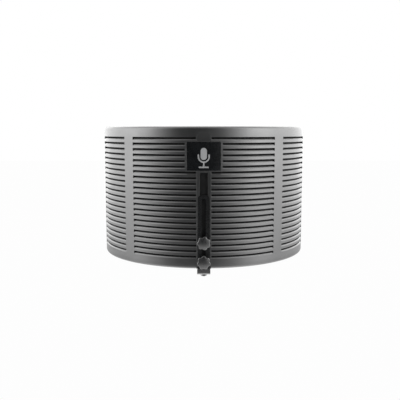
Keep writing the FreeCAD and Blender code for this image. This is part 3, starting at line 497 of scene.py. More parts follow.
def build_wall():
    skin = Skin()
    columns = wall_columns()
    heights = wall_heights()
    low, wall, high = outer_profile()
    outside = low + wall + high
    first_wall = len(low)

    def outer(column, row, lowered=False):
        radius, z = outside[row]
        if lowered:
            radius -= SLOT_BEVEL_DEPTH
        return skin.point(("out", column, row, lowered), place_on(columns[column], radius, z))

    def inner(column, level):
        return skin.point(("in", column, level), place_on(columns[column], RADIUS - WALL, heights[level]))

    kinds = wall_kinds(columns, heights)
    lips = {slot_edges(row)[1] for row in range(SLOT_ROWS)}
    for column in range(len(columns) - 1):
        plate = in_plate(columns[column], columns[column + 1])
        for row in range(len(outside) - 1):
            level = row - first_wall
            on_wall = 0 <= level < len(heights) - 1
            kind = kinds[column][level] if on_wall else "solid"
            if kind == "open":
                continue
            drop = kind == "bevel" and heights[level + 1] in lips
            skin.face(outer(column, row), outer(column + 1, row),
                      outer(column + 1, row + 1, drop), outer(column, row + 1, drop))
            if on_wall and not plate:
                skin.face(inner(column, level), inner(column + 1, level),
                          inner(column + 1, level + 1), inner(column, level + 1))
    close_openings(skin, kinds, outer, inner, first_wall, lips, heights)
    close_inside(skin, columns, outer, inner, outside, heights)
    return skin.build("shell_wall")


def wall_kinds(columns, heights):
    """The kind of each wall cell, by column and by height."""
    kinds = []
    for column, following in zip(columns, columns[1:]):
        radial = column[0] == "radial" and following[0] == "radial"
        middle = (column[2] + following[2]) / 2
        levels = zip(heights, heights[1:])
        kinds.append([cell_kind(middle, (a + b) / 2) if radial else "solid" for a, b in levels])
    return kinds


def close_openings(skin, kinds, outer, inner, first_wall, lips, heights):
    """The faces through the wall's thickness, round every opening."""
    for column, levels in enumerate(kinds):
        for level, kind in enumerate(levels):
            if kind != "open":
                continue
            row = level + first_wall
            below, above = levels[level - 1], levels[level + 1]
            if below != "open":
                drop = below == "bevel" and heights[level] in lips
                skin.face(outer(column, row, drop), outer(column + 1, row, drop),
                          inner(column + 1, level), inner(column, level))
            if above != "open":
                skin.face(outer(column, row + 1), outer(column + 1, row + 1),
                          inner(column + 1, level + 1), inner(column, level + 1))
            for edge, neighbour in ((column, column - 1), (column + 1, column + 1)):
                if kinds[neighbour][level] != "open":
                    close_side(skin, outer, inner, edge, row, level, below, heights, lips)


def close_side(skin, outer, inner, edge, row, level, below, heights, lips):
    """One end of an opening, with the triangle that the lower lip's slope leaves."""
    corners = [outer(edge, row), outer(edge, row + 1), inner(edge, level + 1), inner(edge, level)]
    if below == "bevel" and heights[level] in lips:
        corners = [outer(edge, row - 1)] + corners + [outer(edge, row, True)]
    skin.face(*corners)


def close_inside(skin, columns, outer, inner, outside, heights):
    """Undersides of the flanges, the end plates' inner faces and the two end faces."""
    last_row = len(outside) - 1
    top_level = len(heights) - 1
    inner_radius = RADIUS - WALL

    def corner(column, place):
        z = BOTTOM + WALL if place == "low" else TOP - WALL
        return skin.point(("corner", column, place), place_on(columns[column], inner_radius, z))

    for column in range(len(columns) - 1):
        if in_plate(columns[column], columns[column + 1]):
            skin.face(outer(column, 0), outer(column + 1, 0),
                      outer(column + 1, last_row), outer(column, last_row))
            continue
        low, low_next = corner(column, "low"), corner(column + 1, "low")
        high, high_next = corner(column, "high"), corner(column + 1, "high")
        skin.face(low, low_next, inner(column + 1, 0), inner(column, 0))
        skin.face(high, high_next, inner(column + 1, top_level), inner(column, top_level))
        skin.face(outer(column, 0), outer(column + 1, 0), low_next, low)
        skin.face(outer(column, last_row), outer(column + 1, last_row), high_next, high)
    plates = [number for number, column in enumerate(columns)
              if column[0] == "end" and abs(END_ROUND * (1 - math.sin(column[2])) - WALL) < SLACK]
    for number in plates:
        wall_edge = [inner(number, level) for level in range(top_level + 1)]
        skin.face(outer(number, 0), corner(number, "low"), *wall_edge, corner(number, "high"),
                  outer(number, last_row))
    for number in (0, len(columns) - 1):
        skin.face(*[outer(number, row) for row in range(last_row + 1)])


# ---- shell details


def curved_slab(name, angles, heights, outer, inner, is_open=lambda angle, z: False):
    """A curved sheet of given outer and inner radii over a grid, with its edges closed."""
    skin = Skin()
    columns, rows = len(angles), len(heights)

    def solid(column, row):
        inside = 0 <= column < columns - 1 and 0 <= row < rows - 1
        if not inside:
            return False
        middle = (angles[column] + angles[column + 1]) / 2, (heights[row] + heights[row + 1]) / 2
        return not is_open(*middle)

    def point(face, column, row):
        radius = outer if face == "out" else inner
        angle, z = angles[column], heights[row]
        return skin.point((face, column, row), polar(angle, radius(angle, z), z))

    for column in range(columns - 1):
        for row in range(rows - 1):
            if not solid(column, row):
                continue
            corners = ((column, row), (column + 1, row), (column + 1, row + 1), (column, row + 1))
            for face in ("out", "in"):
                skin.face(*[point(face, *corner) for corner in corners])
            sides = ((0, 1, 0, -1), (1, 2, 1, 0), (2, 3, 0, 1), (3, 0, -1, 0))
            for first, second, across, up in sides:
                if not solid(column + across, row + up):
                    a, b = corners[first], corners[second]
                    skin.face(point("out", *a), point("out", *b), point("in", *b), point("in", *a))
    return skin.build(name)


def flat_plate(name, outline, back, front):
    """An outline in X and Z given a thickness along Y; depths count from the shell's axis."""
    skin = Skin()
    backs = [skin.point(("b", n), Vector((x, AXIS_Y - back, z))) for n, (x, z) in enumerate(outline)]
    fronts = [skin.point(("f", n), Vector((x, AXIS_Y - front, z))) for n, (x, z) in enumerate(outline)]
    skin.face(*backs)
    skin.face(*fronts)
    for number in range(len(outline)):
        following = (number + 1) % len(outline)
        skin.face(backs[number], backs[following], fronts[following], fronts[number])
    return skin.build(name)


def pad_outline():
    """The lower pad: two uprights beside the bracket's recess, stepping in beside the window."""
    frame_low = BADGE_LOW.z - SEAT_GAP - FRAME_BORDER
    foot = BOTTOM + PAD_FOOT
    shoulder = frame_low + PAD_OVERLAP
    right = [(RECESS_HALF, foot)]
    centre = (RECESS_HALF - RECESS_ROUND, RECESS_TOP - RECESS_ROUND)
    last = math.acos((WINDOW_HALF - centre[0]) / RECESS_ROUND)
    for step in range(ROUND_STEPS + 1):
        turn = last * step / ROUND_STEPS
        right.append((centre[0] + RECESS_ROUND * math.cos(turn), centre[1] + RECESS_ROUND * math.sin(turn)))
    right.append((WINDOW_HALF, WINDOW_HIGH))
    left = [(-x, z) for x, z in reversed(right)]
    outside = [(-PAD_HALF, foot), (-PAD_HALF, shoulder), (PAD_HALF, shoulder), (PAD_HALF, foot)]
    return right + left + outside


def build_pads():
    back = RADIUS - WALL / 2
    front = RADIUS + PAD_RISE
    lower = flat_plate("centre_pad_lower", pad_outline(), back, front)
    low = BADGE_HIGH.z + SEAT_GAP + FRAME_BORDER - PAD_OVERLAP
    across, down = PAD_CORNER
    right = [(PAD_HALF, low), (PAD_HALF, PAD_TOP - down), (PAD_HALF - across, PAD_TOP)]
    upper = flat_plate("centre_pad_upper", right + [(-x, z) for x, z in reversed(right)], back, front)
    return [soften(pad, PAD_EDGE, FINE_SEGMENTS) for pad in (lower, upper)]


def build_badge_frame():
    """The raised border round the badge."""
    across_step, up_step = SEAT_STEPS
    half = math.asin((BADGE_HIGH.x + SEAT_GAP) / RADIUS)
    border = FRAME_BORDER / RADIUS
    low, high = BADGE_LOW.z - SEAT_GAP, BADGE_HIGH.z + SEAT_GAP
    angles = steps_between([-half - border, -half, half, half + border], across_step)
    heights = steps_between([low - FRAME_BORDER, low, high, high + FRAME_BORDER], up_step)

    def seat(angle, z):
        return abs(angle) < half and low < z < high

    ridge = curved_slab("badge_frame", angles, heights, lambda angle, z: RADIUS + FRAME_RISE,
                        lambda angle, z: RADIUS - WALL / 2, seat)
    return soften(ridge, PAD_EDGE, FINE_SEGMENTS)


def build_shell():
    wall = soften(build_wall(), WALL_EDGE)
    finish_piece(wall, "shield", PAINT, "shell_paint", "outer_shell")
    for item in build_pads() + [build_badge_frame()]:
        finish_piece(item, "shield", PAINT, "shell_paint")


# ---- layers


# Waves are counted per metre. Grids hold the longest steps round the shell and upward.
FELT_GAP = 0.7 * MM
FELT_THICKNESS = 7.2 * MM
FELT_SIDE_GAP = 0.3 * DEGREE
FELT_NOTCH_HALF = 13.2 * MM
FELT_NOTCH_GAP = 1.2 * MM
FELT_GRID = (1.6 * DEGREE, 6 * MM)
FELT_UNEVEN = 0.4 * MM
FELT_WAVES = (90, 70)
FRAME_BAR = 1.6 * DEGREE
FRAME_BAR_ANGLE = 43.35 * DEGREE
FRAME_POST = 86 * DEGREE
WOOL_BACK = 175 * MM
WOOL_EDGE = 160.7 * MM
WOOL_CREST = 156.6 * MM
WOOL_RAMP = 5 * MM
WOOL_END_GAP = 0.5 * MM
WOOL_MARGIN = 0.8 * DEGREE
WOOL_GRID = (0.35 * DEGREE, 4 * MM)
WOOL_UNEVEN = 0.35 * MM
WOOL_WAVES = 90
EDGE_SHARE = 0.4
FLUTES = 7
FLUTE_ROUNDNESS = 0.55
FLUTE_BASE, FLUTE_HEIGHT = 0.18, 0.82
FOAM_INNER, FOAM_OUTER = 176.8 * MM, 191.0 * MM
FOAM_STRIPS = 8
FOAM_SPACING = 22 * DEGREE
FOAM_HALF = 4 * MM
FOAM_COLUMNS = 6
FOAM_ROW = 8 * MM
FOAM_UNEVEN = 0.2 * MM
FOAM_WAVES = (200, 180)
FOAM_EDGE = 1.0 * MM
FOAM_EDGE_ANGLE = 40 * DEGREE
NOISE_SLICE = 0.37


def rough(angle, z, amount, waves):
    """A smooth wandering of a soft surface."""
    return amount * noise.noise(Vector((angle * RADIUS * waves, z * waves, NOISE_SLICE)))


def uneven(radius, amount, waves):
    """A face at a radius, wandering in and out by an amount."""
    return lambda angle, z: radius + rough(angle, z, amount, waves)


def build_outer_felt():
    """The felt against the wall, notched round the spine."""
    low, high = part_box("outer_felt")
    across_step, up_step = FELT_GRID
    outer_waves, inner_waves = FELT_WAVES
    half = math.asin(high.x / (RADIUS - WALL)) - FELT_SIDE_GAP
    notch = angle_at(FELT_NOTCH_HALF)
    notch_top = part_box("spine_plate")[1].z + FELT_NOTCH_GAP
    angles = steps_between([-half, -notch, notch, half], across_step)
    heights = steps_between([low.z, notch_top, high.z], up_step)
    outer_radius = RADIUS - WALL - FELT_GAP
    sheet = curved_slab("outer_felt_sheet", angles, heights,
                        uneven(outer_radius, FELT_UNEVEN, outer_waves),
                        uneven(outer_radius - FELT_THICKNESS, FELT_UNEVEN, inner_waves),
                        lambda angle, z: abs(angle) < notch and z < notch_top)
    finish_piece(sheet, "shield", BLACK_FELT, "black_felt", "outer_felt")


def wool_face(start, end, low, high):
    """A pad's inner face: fluted upright, and sinking towards the frame's bars and both ends."""
    def radius(angle, z):
        across = (angle - start) / (end - start)
        from_bar = min(angle - start, end - angle) * WOOL_EDGE
        from_end = min(z - low, high - z)
        swell = smooth_step(from_bar / WOOL_RAMP) * smooth_step((from_end - WOOL_END_GAP) / WOOL_RAMP)
        flute = abs(math.sin(math.pi * FLUTES * across)) ** FLUTE_ROUNDNESS
        proud = swell * ((WOOL_EDGE - WOOL_CREST) * (FLUTE_BASE + FLUTE_HEIGHT * flute))
        return WOOL_EDGE - proud + rough(angle, z, WOOL_UNEVEN, WOOL_WAVES) * (EDGE_SHARE + swell)
    return radius


def build_wool_bays():
    """Four wool pads, one in each opening of the inner frame, swelling between its bars."""
    low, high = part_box("inner_absorber")
    across_step, up_step = WOOL_GRID
    bays = ((FRAME_BAR, FRAME_BAR_ANGLE - FRAME_BAR), (FRAME_BAR_ANGLE + FRAME_BAR, FRAME_POST))
    spans = [(-end, -start) for start, end in reversed(bays)] + list(bays)
    for number, (start, end) in enumerate(spans, start=1):
        angles = steps_between([start - WOOL_MARGIN, end + WOOL_MARGIN], across_step)
        heights = steps_between([low.z, high.z], up_step)
        pad = curved_slab(f"wool_bay_{number}", angles, heights,
                          lambda angle, z: WOOL_BACK, wool_face(start, end, low.z, high.z))
        finish_piece(pad, "shield", GREY_FELT, "grey_felt", *first_only(number, "inner_absorber"))


def build_spacers():
    """Foam strips with rounded long edges, standing in the air gap."""
    low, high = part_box("spacer_strips")
    outer_waves, inner_waves = FOAM_WAVES
    half = FOAM_HALF / FOAM_INNER
    heights = steps_between([low.z, high.z], FOAM_ROW)
    for number in range(1, FOAM_STRIPS + 1):
        middle = (number - (FOAM_STRIPS + 1) / 2) * FOAM_SPACING
        angles = [middle - half + 2 * half * part / FOAM_COLUMNS for part in range(FOAM_COLUMNS + 1)]
        strip = curved_slab(f"foam_strip_{number}", angles, heights,
                            uneven(FOAM_OUTER, FOAM_UNEVEN, outer_waves),
                            uneven(FOAM_INNER, FOAM_UNEVEN, inner_waves))
        soften(strip, FOAM_EDGE, FINE_SEGMENTS, FOAM_EDGE_ANGLE)
        finish_piece(strip, "shield", FOAM, "foam", *first_only(number, "spacer_strips"))


# ---- turned pieces


SHARP = 32 * DEGREE
SIX = math.pi / 3
ARM_GAP = 0.03 * MM
KNOB_SEGMENTS, SOCKET_SEGMENTS, POST_SEGMENTS = 168, 144, 128
HEX_SEGMENTS, STUD_SEGMENTS, SCREW_SEGMENTS = 96, 72, 48

# Threads: radius and pitch, and shares of the pitch.
PIPE_RADIUS, PIPE_PITCH = 7.94 * MM, 25.4 / 27 * MM
M6_RADIUS, M6_PITCH = 3 * MM, 1.0 * MM
M8_RADIUS, M8_PITCH = 4 * MM, 1.25 * MM
THREAD_STEPS = 6
THREAD_DEPTH = 0.61
THREAD_RUNOUT = 0.7

# Hexagons. A crown pairs shares of the corner radius with shares of the crown's depth.
CROWN = ((1.0, 0.0), (0.965, 0.35), (0.915, 0.7), (0.86, 0.92), (0.82, 1.0))
NUT_CROWN = 0.09
NUT_GAP = 0.05 * MM
NUT_SINK = 0.5 * MM
BOLT_FLATS = 10 * MM
BOLT_CROWN = 1.3 * MM
BOLT_NECK, BOLT_NECK_SHARE = 0.2 * MM, 0.9
WASHER_BORE, WASHER_EDGE = 4.15 * MM, 0.3 * MM

# Knobs. The skirt pairs distances in from the outline with heights, in millimetres.
KNOB_LOBES = 7
KNOB_SHARPNESS = 1.7
KNOB_TIP = 12.15 * MM
KNOB_VALLEY = 10.2 * MM
KNOB_HUB, KNOB_HUB_EDGE, KNOB_HUB_HEIGHT = 7.4 * MM, 0.4 * MM, 3.0 * MM
KNOB_SKIRT = ((3.0, 3.4), (1.6, 3.7), (0.9, 4.1), (0.35, 4.8), (0.1, 5.6), (0.0, 6.4))
KNOB_DOME = 2.0 * MM
KNOB_RIM = 1.2 * MM
KNOB_MOUTH = 0.3 * MM
KNOB_FACE_STEPS = 10
INSERT_GAP, INSERT_END_GAP = 0.02 * MM, 0.1 * MM

# Stand socket, microphone post, studs and screws. Each post's nut and washer move with the body beside it.
POSTS = (("socket", "stand_clamp"), ("mic_post", "mic_carrier"))
SOCKET_DEPTH, SOCKET_CONE, SOCKET_MOUTH = 18 * MM, 1.5 * MM, 0.5 * MM
SOCKET_LEAD_IN, SOCKET_RUNOUT, SOCKET_THREAD_SHARE = 0.9 * MM, 0.5 * MM, 0.85
SOCKET_CHAMFER = 0.8 * MM
KNURL_LOW, KNURL_HIGH = 5 * MM, 19 * MM
KNURL_GROOVE, KNURL_DEPTH, KNURL_LEAD = 0.4 * MM, 0.35 * MM, 1.6 * MM
KNURL_TEETH, KNURL_STEPS = 48, 14
POST_TAIL_TURNS = 7
POST_FLANGE, POST_EDGE = 5 * MM, 0.5 * MM
POST_NECK, POST_LEAD = 0.8 * MM, 1 * MM
POST_CENTRE, POST_CENTRE_DEPTH = 1.6 * MM, 1.4 * MM
STUD_HEAD_DEPTH, STUD_EDGE, STUD_SMALL_EDGE = 2.2 * MM, 0.5 * MM, 0.2 * MM
STUD_THREAD_LEAD = 4 * MM
SCREW_CIRCLE, SCREW_SPACING = 160 * MM, 40 * DEGREE
SCREW_HEAD, SCREW_HEAD_HEIGHT, SCREW_EDGE = 3 * MM, 1.9 * MM, 0.3 * MM
SCREW_SHANK, SCREW_LENGTH, SCREW_TIP = 1.5 * MM, 10.4 * MM, 0.5 * MM
SCREW_KEY, SCREW_KEY_DEPTH, SCREW_KEY_CONE = 2.5 * MM, 1.2 * MM, 1.5 * MM


def upright(x, y, z, rise=1):
    """Places a piece's local across, forward and height on a point; it can hang down instead."""
    return lambda across, forward, height: Vector((x + across, y + forward, z + rise * height))


def standing_on(low, high):
    """Places a piece upright on the middle of a box's floor."""
    middle = (low + high) / 2
    return upright(middle.x, middle.y, low.z)


def facing_back(x, y, z):
    """Places a piece whose height runs towards the back."""
    return lambda across, forward, height: Vector((x + across, y - height, z + forward))


def lathe(name, rows, segments, place, ring=False):
    """Rings of radius and height joined in order; either may depend on the angle. A ring closes on itself."""
    skin = Skin()
    turns = [2 * math.pi * number / segments for number in range(segments)]

    def ring_point(row, turn_number):
        radius, height = rows[row]
        turn = turns[turn_number]
        size = radius(turn) if callable(radius) else radius
        level = height(turn) if callable(height) else height
        key = (row, turn_number) if size > 0 else (row, "centre")
        return skin.point(key, place(size * math.cos(turn), size * math.sin(turn), level))

    for row in range(len(rows) - (0 if ring else 1)):
        above = (row + 1) % len(rows)
        for number in range(segments):
            following = (number + 1) % segments
            skin.face(ring_point(row, number), ring_point(row, following),
                      ring_point(above, following), ring_point(above, number))
    item = skin.build(name)
    item.data.set_sharp_from_angle(angle=SHARP)
    return item


def hexagon(flats, limit=1.0):
    """A hexagon's radius at an angle, with a corner at zero, cut round at a share of its corner radius."""
    corner = flats / math.sqrt(3) * limit
    return lambda turn: min(flats / 2 / math.cos(turn % SIX - SIX / 2), corner)


def crown(flats, start, end):
    """Rows from a hexagon's full section to a face whose corners are turned off to a cone."""
    return [(hexagon(flats, limit), start + (end - start) * share) for limit, share in CROWN]


def thread(crest, root, pitch, start, end):
    """Rows of a screw thread that winds between two radii from one height to another."""
    count = math.ceil((end - start) / pitch * THREAD_STEPS)
    rows = []
    for number in range(count + 1):
        height = start + (end - start) * number / count

        def radius(turn, height=height):
            phase = (height / pitch - turn / (2 * math.pi)) % 1
            return crest + (root - crest) * abs(2 * phase - 1)
        rows.append((radius, height))
    return rows


def outer_thread(radius, pitch, start, end):
    """A male thread with a chamfered end at its upper height."""
    root = radius - THREAD_DEPTH * pitch
    return thread(radius, root, pitch, start, end - pitch * THREAD_RUNOUT) + [(root, end), (0, end)]


def hanging_thread(radius, pitch, length):
    """A male thread that stands on its chamfered end."""
    return [(size, length - height) for size, height in reversed(outer_thread(radius, pitch, 0, length))]


def lobed(first_lobe, inset):
    """Outline of the star grip: pointed lobes with shallow hollows between them."""
    def radius(turn):
        wave = abs(math.cos(KNOB_LOBES * (turn - first_lobe) / 2)) ** KNOB_SHARPNESS
        return KNOB_VALLEY + (KNOB_TIP - KNOB_VALLEY) * wave - inset
    return radius


def knob_face(first_lobe, depth, share, drop=0):
    """One ring of the grip's domed face, at a share of the way out to its rim."""
    edge = lobed(first_lobe, KNOB_RIM)

    def height(turn):
        return depth - KNOB_DOME * (edge(turn) * share / KNOB_TIP) ** 2 - drop
    return lambda turn: edge(turn) * share, height


def knob_rows(first_lobe, depth, bore, bore_depth):
    """From the bottom of the blind bore, out over the hub and the skirt, and up to the middle of the face."""
    rows = [(0, bore_depth), (bore, bore_depth), (bore, KNOB_MOUTH), (bore + KNOB_MOUTH, 0)]
    rows += [(KNOB_HUB - KNOB_HUB_EDGE, 0), (KNOB_HUB, KNOB_HUB_EDGE), (KNOB_HUB, KNOB_HUB_HEIGHT)]
    rows += [(lobed(first_lobe, inset * MM), height * MM) for inset, height in KNOB_SKIRT]
    for step in range(ROUND_STEPS):
        turn = math.pi / 2 * step / ROUND_STEPS
        inset, drop = KNOB_RIM * (1 - math.cos(turn)), KNOB_RIM * (1 - math.sin(turn))
        rows.append((lobed(first_lobe, inset), knob_face(first_lobe, depth, 1, drop)[1]))
    rows += [knob_face(first_lobe, depth, 1 - step / KNOB_FACE_STEPS) for step in range(KNOB_FACE_STEPS)]
    return rows + [(0, depth)]


def build_knob(name, body, first_lobe):
    """A moulded star grip round its brass insert."""
    low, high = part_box(name)
    insert_low, insert_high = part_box(f"{name}_insert")
    centre = (insert_low + insert_high) / 2
    bore = (insert_high.x - insert_low.x) / 2 + INSERT_GAP
    bore_depth = insert_high.y - insert_low.y + INSERT_END_GAP
    rows = knob_rows(first_lobe, high.y - low.y, bore, bore_depth)
    grip = lathe(f"{name}_grip", rows, KNOB_SEGMENTS, facing_back(centre.x, high.y, centre.z))
    finish_piece(grip, body, NYLON, "black_nylon", name)


def build_nut(name, body, nodes, flats, thread_radius, place, height):
    """A hexagon nut with both faces crowned and its bore countersunk."""
    bore = thread_radius + NUT_GAP
    mouth = bore + NUT_SINK
    edge = NUT_CROWN * flats
    rows = [(mouth, 0)] + list(reversed(crown(flats, edge, 0))) + crown(flats, height - edge, height)
    rows += [(mouth, height), (bore, height - NUT_SINK), (bore, NUT_SINK)]
    nut = lathe(name, rows, HEX_SEGMENTS, place, ring=True)
    finish_piece(nut, body, ZINC, "zinc_steel", *nodes)


def build_bracket_fasteners():
    """Two bolts with crowned heads up through the bracket's foot and the arm, and their nuts."""
    low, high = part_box("bracket_bolts")
    nut_low, nut_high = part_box("bracket_nuts")
    head = BRACKET_LOW.z - low.z
    neck = BOLT_FLATS / math.sqrt(3) * BOLT_NECK_SHARE
    for number, y in enumerate((low.y + BOLT_FLATS / 2, high.y - BOLT_FLATS / 2), start=1):
        rows = [(0, 0)] + list(reversed(crown(BOLT_FLATS, BOLT_CROWN, 0)))
        rows += [(hexagon(BOLT_FLATS), head - BOLT_NECK), (neck, head), (M6_RADIUS, head)]
        rows += outer_thread(M6_RADIUS, M6_PITCH, nut_low.z - low.z - M6_PITCH, high.z - low.z)
        bolt = lathe(f"bracket_bolt_{number}", rows, HEX_SEGMENTS, upright(0, y, low.z))
        finish_piece(bolt, "arm", ZINC, "zinc_steel", *first_only(number, "bracket_bolts"))
        build_nut(f"bracket_nut_{number}", "arm", first_only(number, "bracket_nuts"), BOLT_FLATS, M6_RADIUS,
                  upright(0, y, nut_low.z), nut_high.z - nut_low.z)


def build_post_nuts():
    """The nuts on the stand socket's and the microphone post's studs."""
    for post, body in POSTS:
        node = f"{post}_nut"
        low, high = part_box(node)
        build_nut(f"{node}_hexagon", body, [node], high.y - low.y, M8_RADIUS,
                  standing_on(low, high), high.z - low.z)


def build_post_washers():
    """Turned washers above and below the arm, a hair clear of it, as everything that slides on it is."""
    for post, body in POSTS:
        node = f"{post}_washer"
        low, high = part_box(node)
        outside, height = (high.x - low.x) / 2, high.z - low.z
        rows = [(WASHER_BORE, ARM_GAP + WASHER_EDGE), (WASHER_BORE + WASHER_EDGE, ARM_GAP)]
        rows += [(outside - WASHER_EDGE, ARM_GAP), (outside, ARM_GAP + WASHER_EDGE)]
        rows += [(radius, height - level) for radius, level in reversed(rows)]
        washer = lathe(f"{node}_turned", rows, HEX_SEGMENTS, standing_on(low, high), ring=True)
        finish_piece(washer, body, ZINC, "zinc_steel", node)


def socket_bore():
    """The blind threaded bore, from the middle of its cone down to its mouth."""
    crest = PIPE_RADIUS - THREAD_DEPTH * PIPE_PITCH * SOCKET_THREAD_SHARE
    turns = thread(crest, PIPE_RADIUS, PIPE_PITCH, SOCKET_LEAD_IN, SOCKET_DEPTH - SOCKET_RUNOUT)
    top = [(0, SOCKET_DEPTH + SOCKET_CONE), (crest, SOCKET_DEPTH)]
    return top + list(reversed(turns)) + [(PIPE_RADIUS + SOCKET_MOUTH, 0)]


def knurl(outside, level):
    """One ring of slanting teeth."""
    return lambda turn: outside - KNURL_DEPTH * abs(math.sin(KNURL_TEETH * turn / 2 + level / KNURL_LEAD))


def build_stand_socket():
    """The stand's threaded socket: a knurled block, bored and threaded from below, with a stud on top."""
    low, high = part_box("stand_socket")
    outside, height = high.x, ARM_LOW.z - low.z - ARM_GAP
    rows = socket_bore() + [(outside - SOCKET_CHAMFER, 0), (outside, SOCKET_CHAMFER)]
    rows += [(outside, KNURL_LOW - KNURL_GROOVE), (outside - KNURL_GROOVE, KNURL_LOW)]
    for step in range(KNURL_STEPS + 1):
        level = KNURL_LOW + (KNURL_HIGH - KNURL_LOW) * step / KNURL_STEPS
        rows.append((knurl(outside, level), level))
    rows += [(outside - KNURL_GROOVE, KNURL_HIGH), (outside, KNURL_HIGH + KNURL_GROOVE)]
    rows += [(outside, height - SOCKET_CHAMFER), (outside - SOCKET_CHAMFER, height), (M8_RADIUS, height)]
    rows += outer_thread(M8_RADIUS, M8_PITCH, height + M8_PITCH, high.z - low.z)
    socket = lathe("stand_socket_turned", rows, SOCKET_SEGMENTS, upright(0, 0, low.z))
    finish_piece(socket, "stand", BLACK_ZINC, "black_zinc", "stand_socket")


def build_mic_post():
    """The microphone's post: a stud below the arm, a round flange on it and the clip's thread above."""
    low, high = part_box("mic_post")
    under = ARM_HIGH.z - low.z + ARM_GAP
    over = under + POST_FLANGE
    top = high.z - low.z
    flange = high.x
    root = PIPE_RADIUS - THREAD_DEPTH * PIPE_PITCH
    rows = hanging_thread(M8_RADIUS, M8_PITCH, M8_PITCH * POST_TAIL_TURNS) + [(M8_RADIUS, under)]
    rows += [(flange - POST_EDGE, under), (flange, under + POST_EDGE)]
    rows += [(flange, over - POST_EDGE), (flange - POST_EDGE, over), (root, over), (root, over + POST_NECK)]
    rows += thread(PIPE_RADIUS, root, PIPE_PITCH, over + POST_LEAD, top - POST_LEAD)
    rows += [(root, top), (POST_CENTRE, top), (0, top - POST_CENTRE_DEPTH)]
    place = upright((low.x + high.x) / 2, (low.y + high.y) / 2, low.z)
    post = lathe("mic_post_turned", rows, POST_SEGMENTS, place)
    finish_piece(post, "mic_carrier", STEEL, "bright_steel", "mic_post")


def build_mounting_studs():
    """Studs pressed through the spine from its inside, threaded from just inside the bracket outward."""
    low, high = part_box("mounting_studs")
    head = high.x
    plain = high.y - BRACKET_LOW.y - STUD_THREAD_LEAD
    rows = [(0, 0), (head - STUD_EDGE, 0), (head, STUD_EDGE), (head, STUD_HEAD_DEPTH - STUD_SMALL_EDGE)]
    rows += [(head - STUD_SMALL_EDGE, STUD_HEAD_DEPTH), (M6_RADIUS, STUD_HEAD_DEPTH)]
    rows += outer_thread(M6_RADIUS, M6_PITCH, plain, high.y - low.y)
    for number, node in enumerate(("lower_knob_insert", "upper_knob_insert"), start=1):
        insert_low, insert_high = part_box(node)
        place = facing_back(0, high.y, (insert_low.z + insert_high.z) / 2)
        stud = lathe(f"mounting_stud_{number}", rows, STUD_SEGMENTS, place)
        finish_piece(stud, "shield", ZINC, "zinc_steel", *first_only(number, "mounting_studs"))


def build_frame_screws():
    """Flush socket screws through both flanges into the inner frame's rails."""
    low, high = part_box("frame_screws")
    key = hexagon(SCREW_KEY)
    rows = [(0, SCREW_KEY_CONE), (key, SCREW_KEY_DEPTH), (key, 0), (SCREW_HEAD - SCREW_EDGE, 0)]
    rows += [(SCREW_HEAD, SCREW_EDGE), (SCREW_HEAD, SCREW_HEAD_HEIGHT), (SCREW_SHANK, SCREW_HEAD_HEIGHT)]
    rows += [(SCREW_SHANK, SCREW_LENGTH - SCREW_TIP), (SCREW_SHANK - SCREW_TIP, SCREW_LENGTH)]
    rows.append((0, SCREW_LENGTH))
    rings = ((high.z, -1), (low.z, 1))
    spots = [(step * SCREW_SPACING, z, rise) for z, rise in rings for step in (-2, -1, 0, 1, 2)]
    for number, (angle, z, rise) in enumerate(spots, start=1):
        place = upright(*polar(angle, SCREW_CIRCLE, z), rise)
        screw = lathe(f"frame_screw_{number}", rows, SCREW_SEGMENTS, place)
        finish_piece(screw, "shield", BLACK_SCREW, "black_screws", *first_only(number, "frame_screws"))


def build_kept_nodes():
    """CAD nodes that stay, with their finish and the width of their rounded edges in millimetres."""
    kept = (
        ("inner_frame", POWDER, 0.8), ("spine_plate", POWDER, 0.4), ("lift_bracket", BRACKET, 0.8),
        ("support_arm", POWDER, 0.7), ("badge_plate", BADGE, 0.5), ("badge_emblem", EMBLEM, 0.25),
        ("upper_washer", ZINC, 0.3), ("lower_washer", ZINC, 0.3), ("upper_knob_insert", BRASS, 0.3),
        ("lower_knob_insert", BRASS, 0.3), ("foil_sheet", FOIL, 0.1), ("perforated_sheet", PUNCHED, 0.15),
        ("spine_screws", ZINC, 0.3),
    )
    for node, material, width in kept:
        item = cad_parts[node]
        for number in range(len(item.data.materials)):
            item.data.materials[number] = material
        soften(item, width * MM)


build_shell()
build_outer_felt()
build_wool_bays()
build_spacers()
build_knob("upper_knob", "upper_grip", math.pi)
build_knob("lower_knob", "lower_grip", math.pi / 2)
build_bracket_fasteners()
build_post_nuts()
build_post_washers()
build_stand_socket()
build_mic_post()
build_mounting_studs()
build_frame_screws()
build_kept_nodes()


# ---- studio


CAMERA_DISTANCE = 1.2043
CAMERA_HEIGHT = TOP - 8.8 * MM
CAMERA_TILT = 0.1192
CAMERA_LENS = 51.6
CAMERA_SENSOR = 36
CAMERA_SHIFT = -0.0094
CAMERA_REACH = 100
FLOOR_DROP = 0.42
FLOOR_REACH = 12
FLOOR_GREY = 0.8
FLOOR_ROUGHNESS = 0.9
FLOOR_GLOW = 0.985
STUDIO_STRENGTH = 3.1
GAP_TURN = -8 * DEGREE
GAP_FLATTENING = 0.28
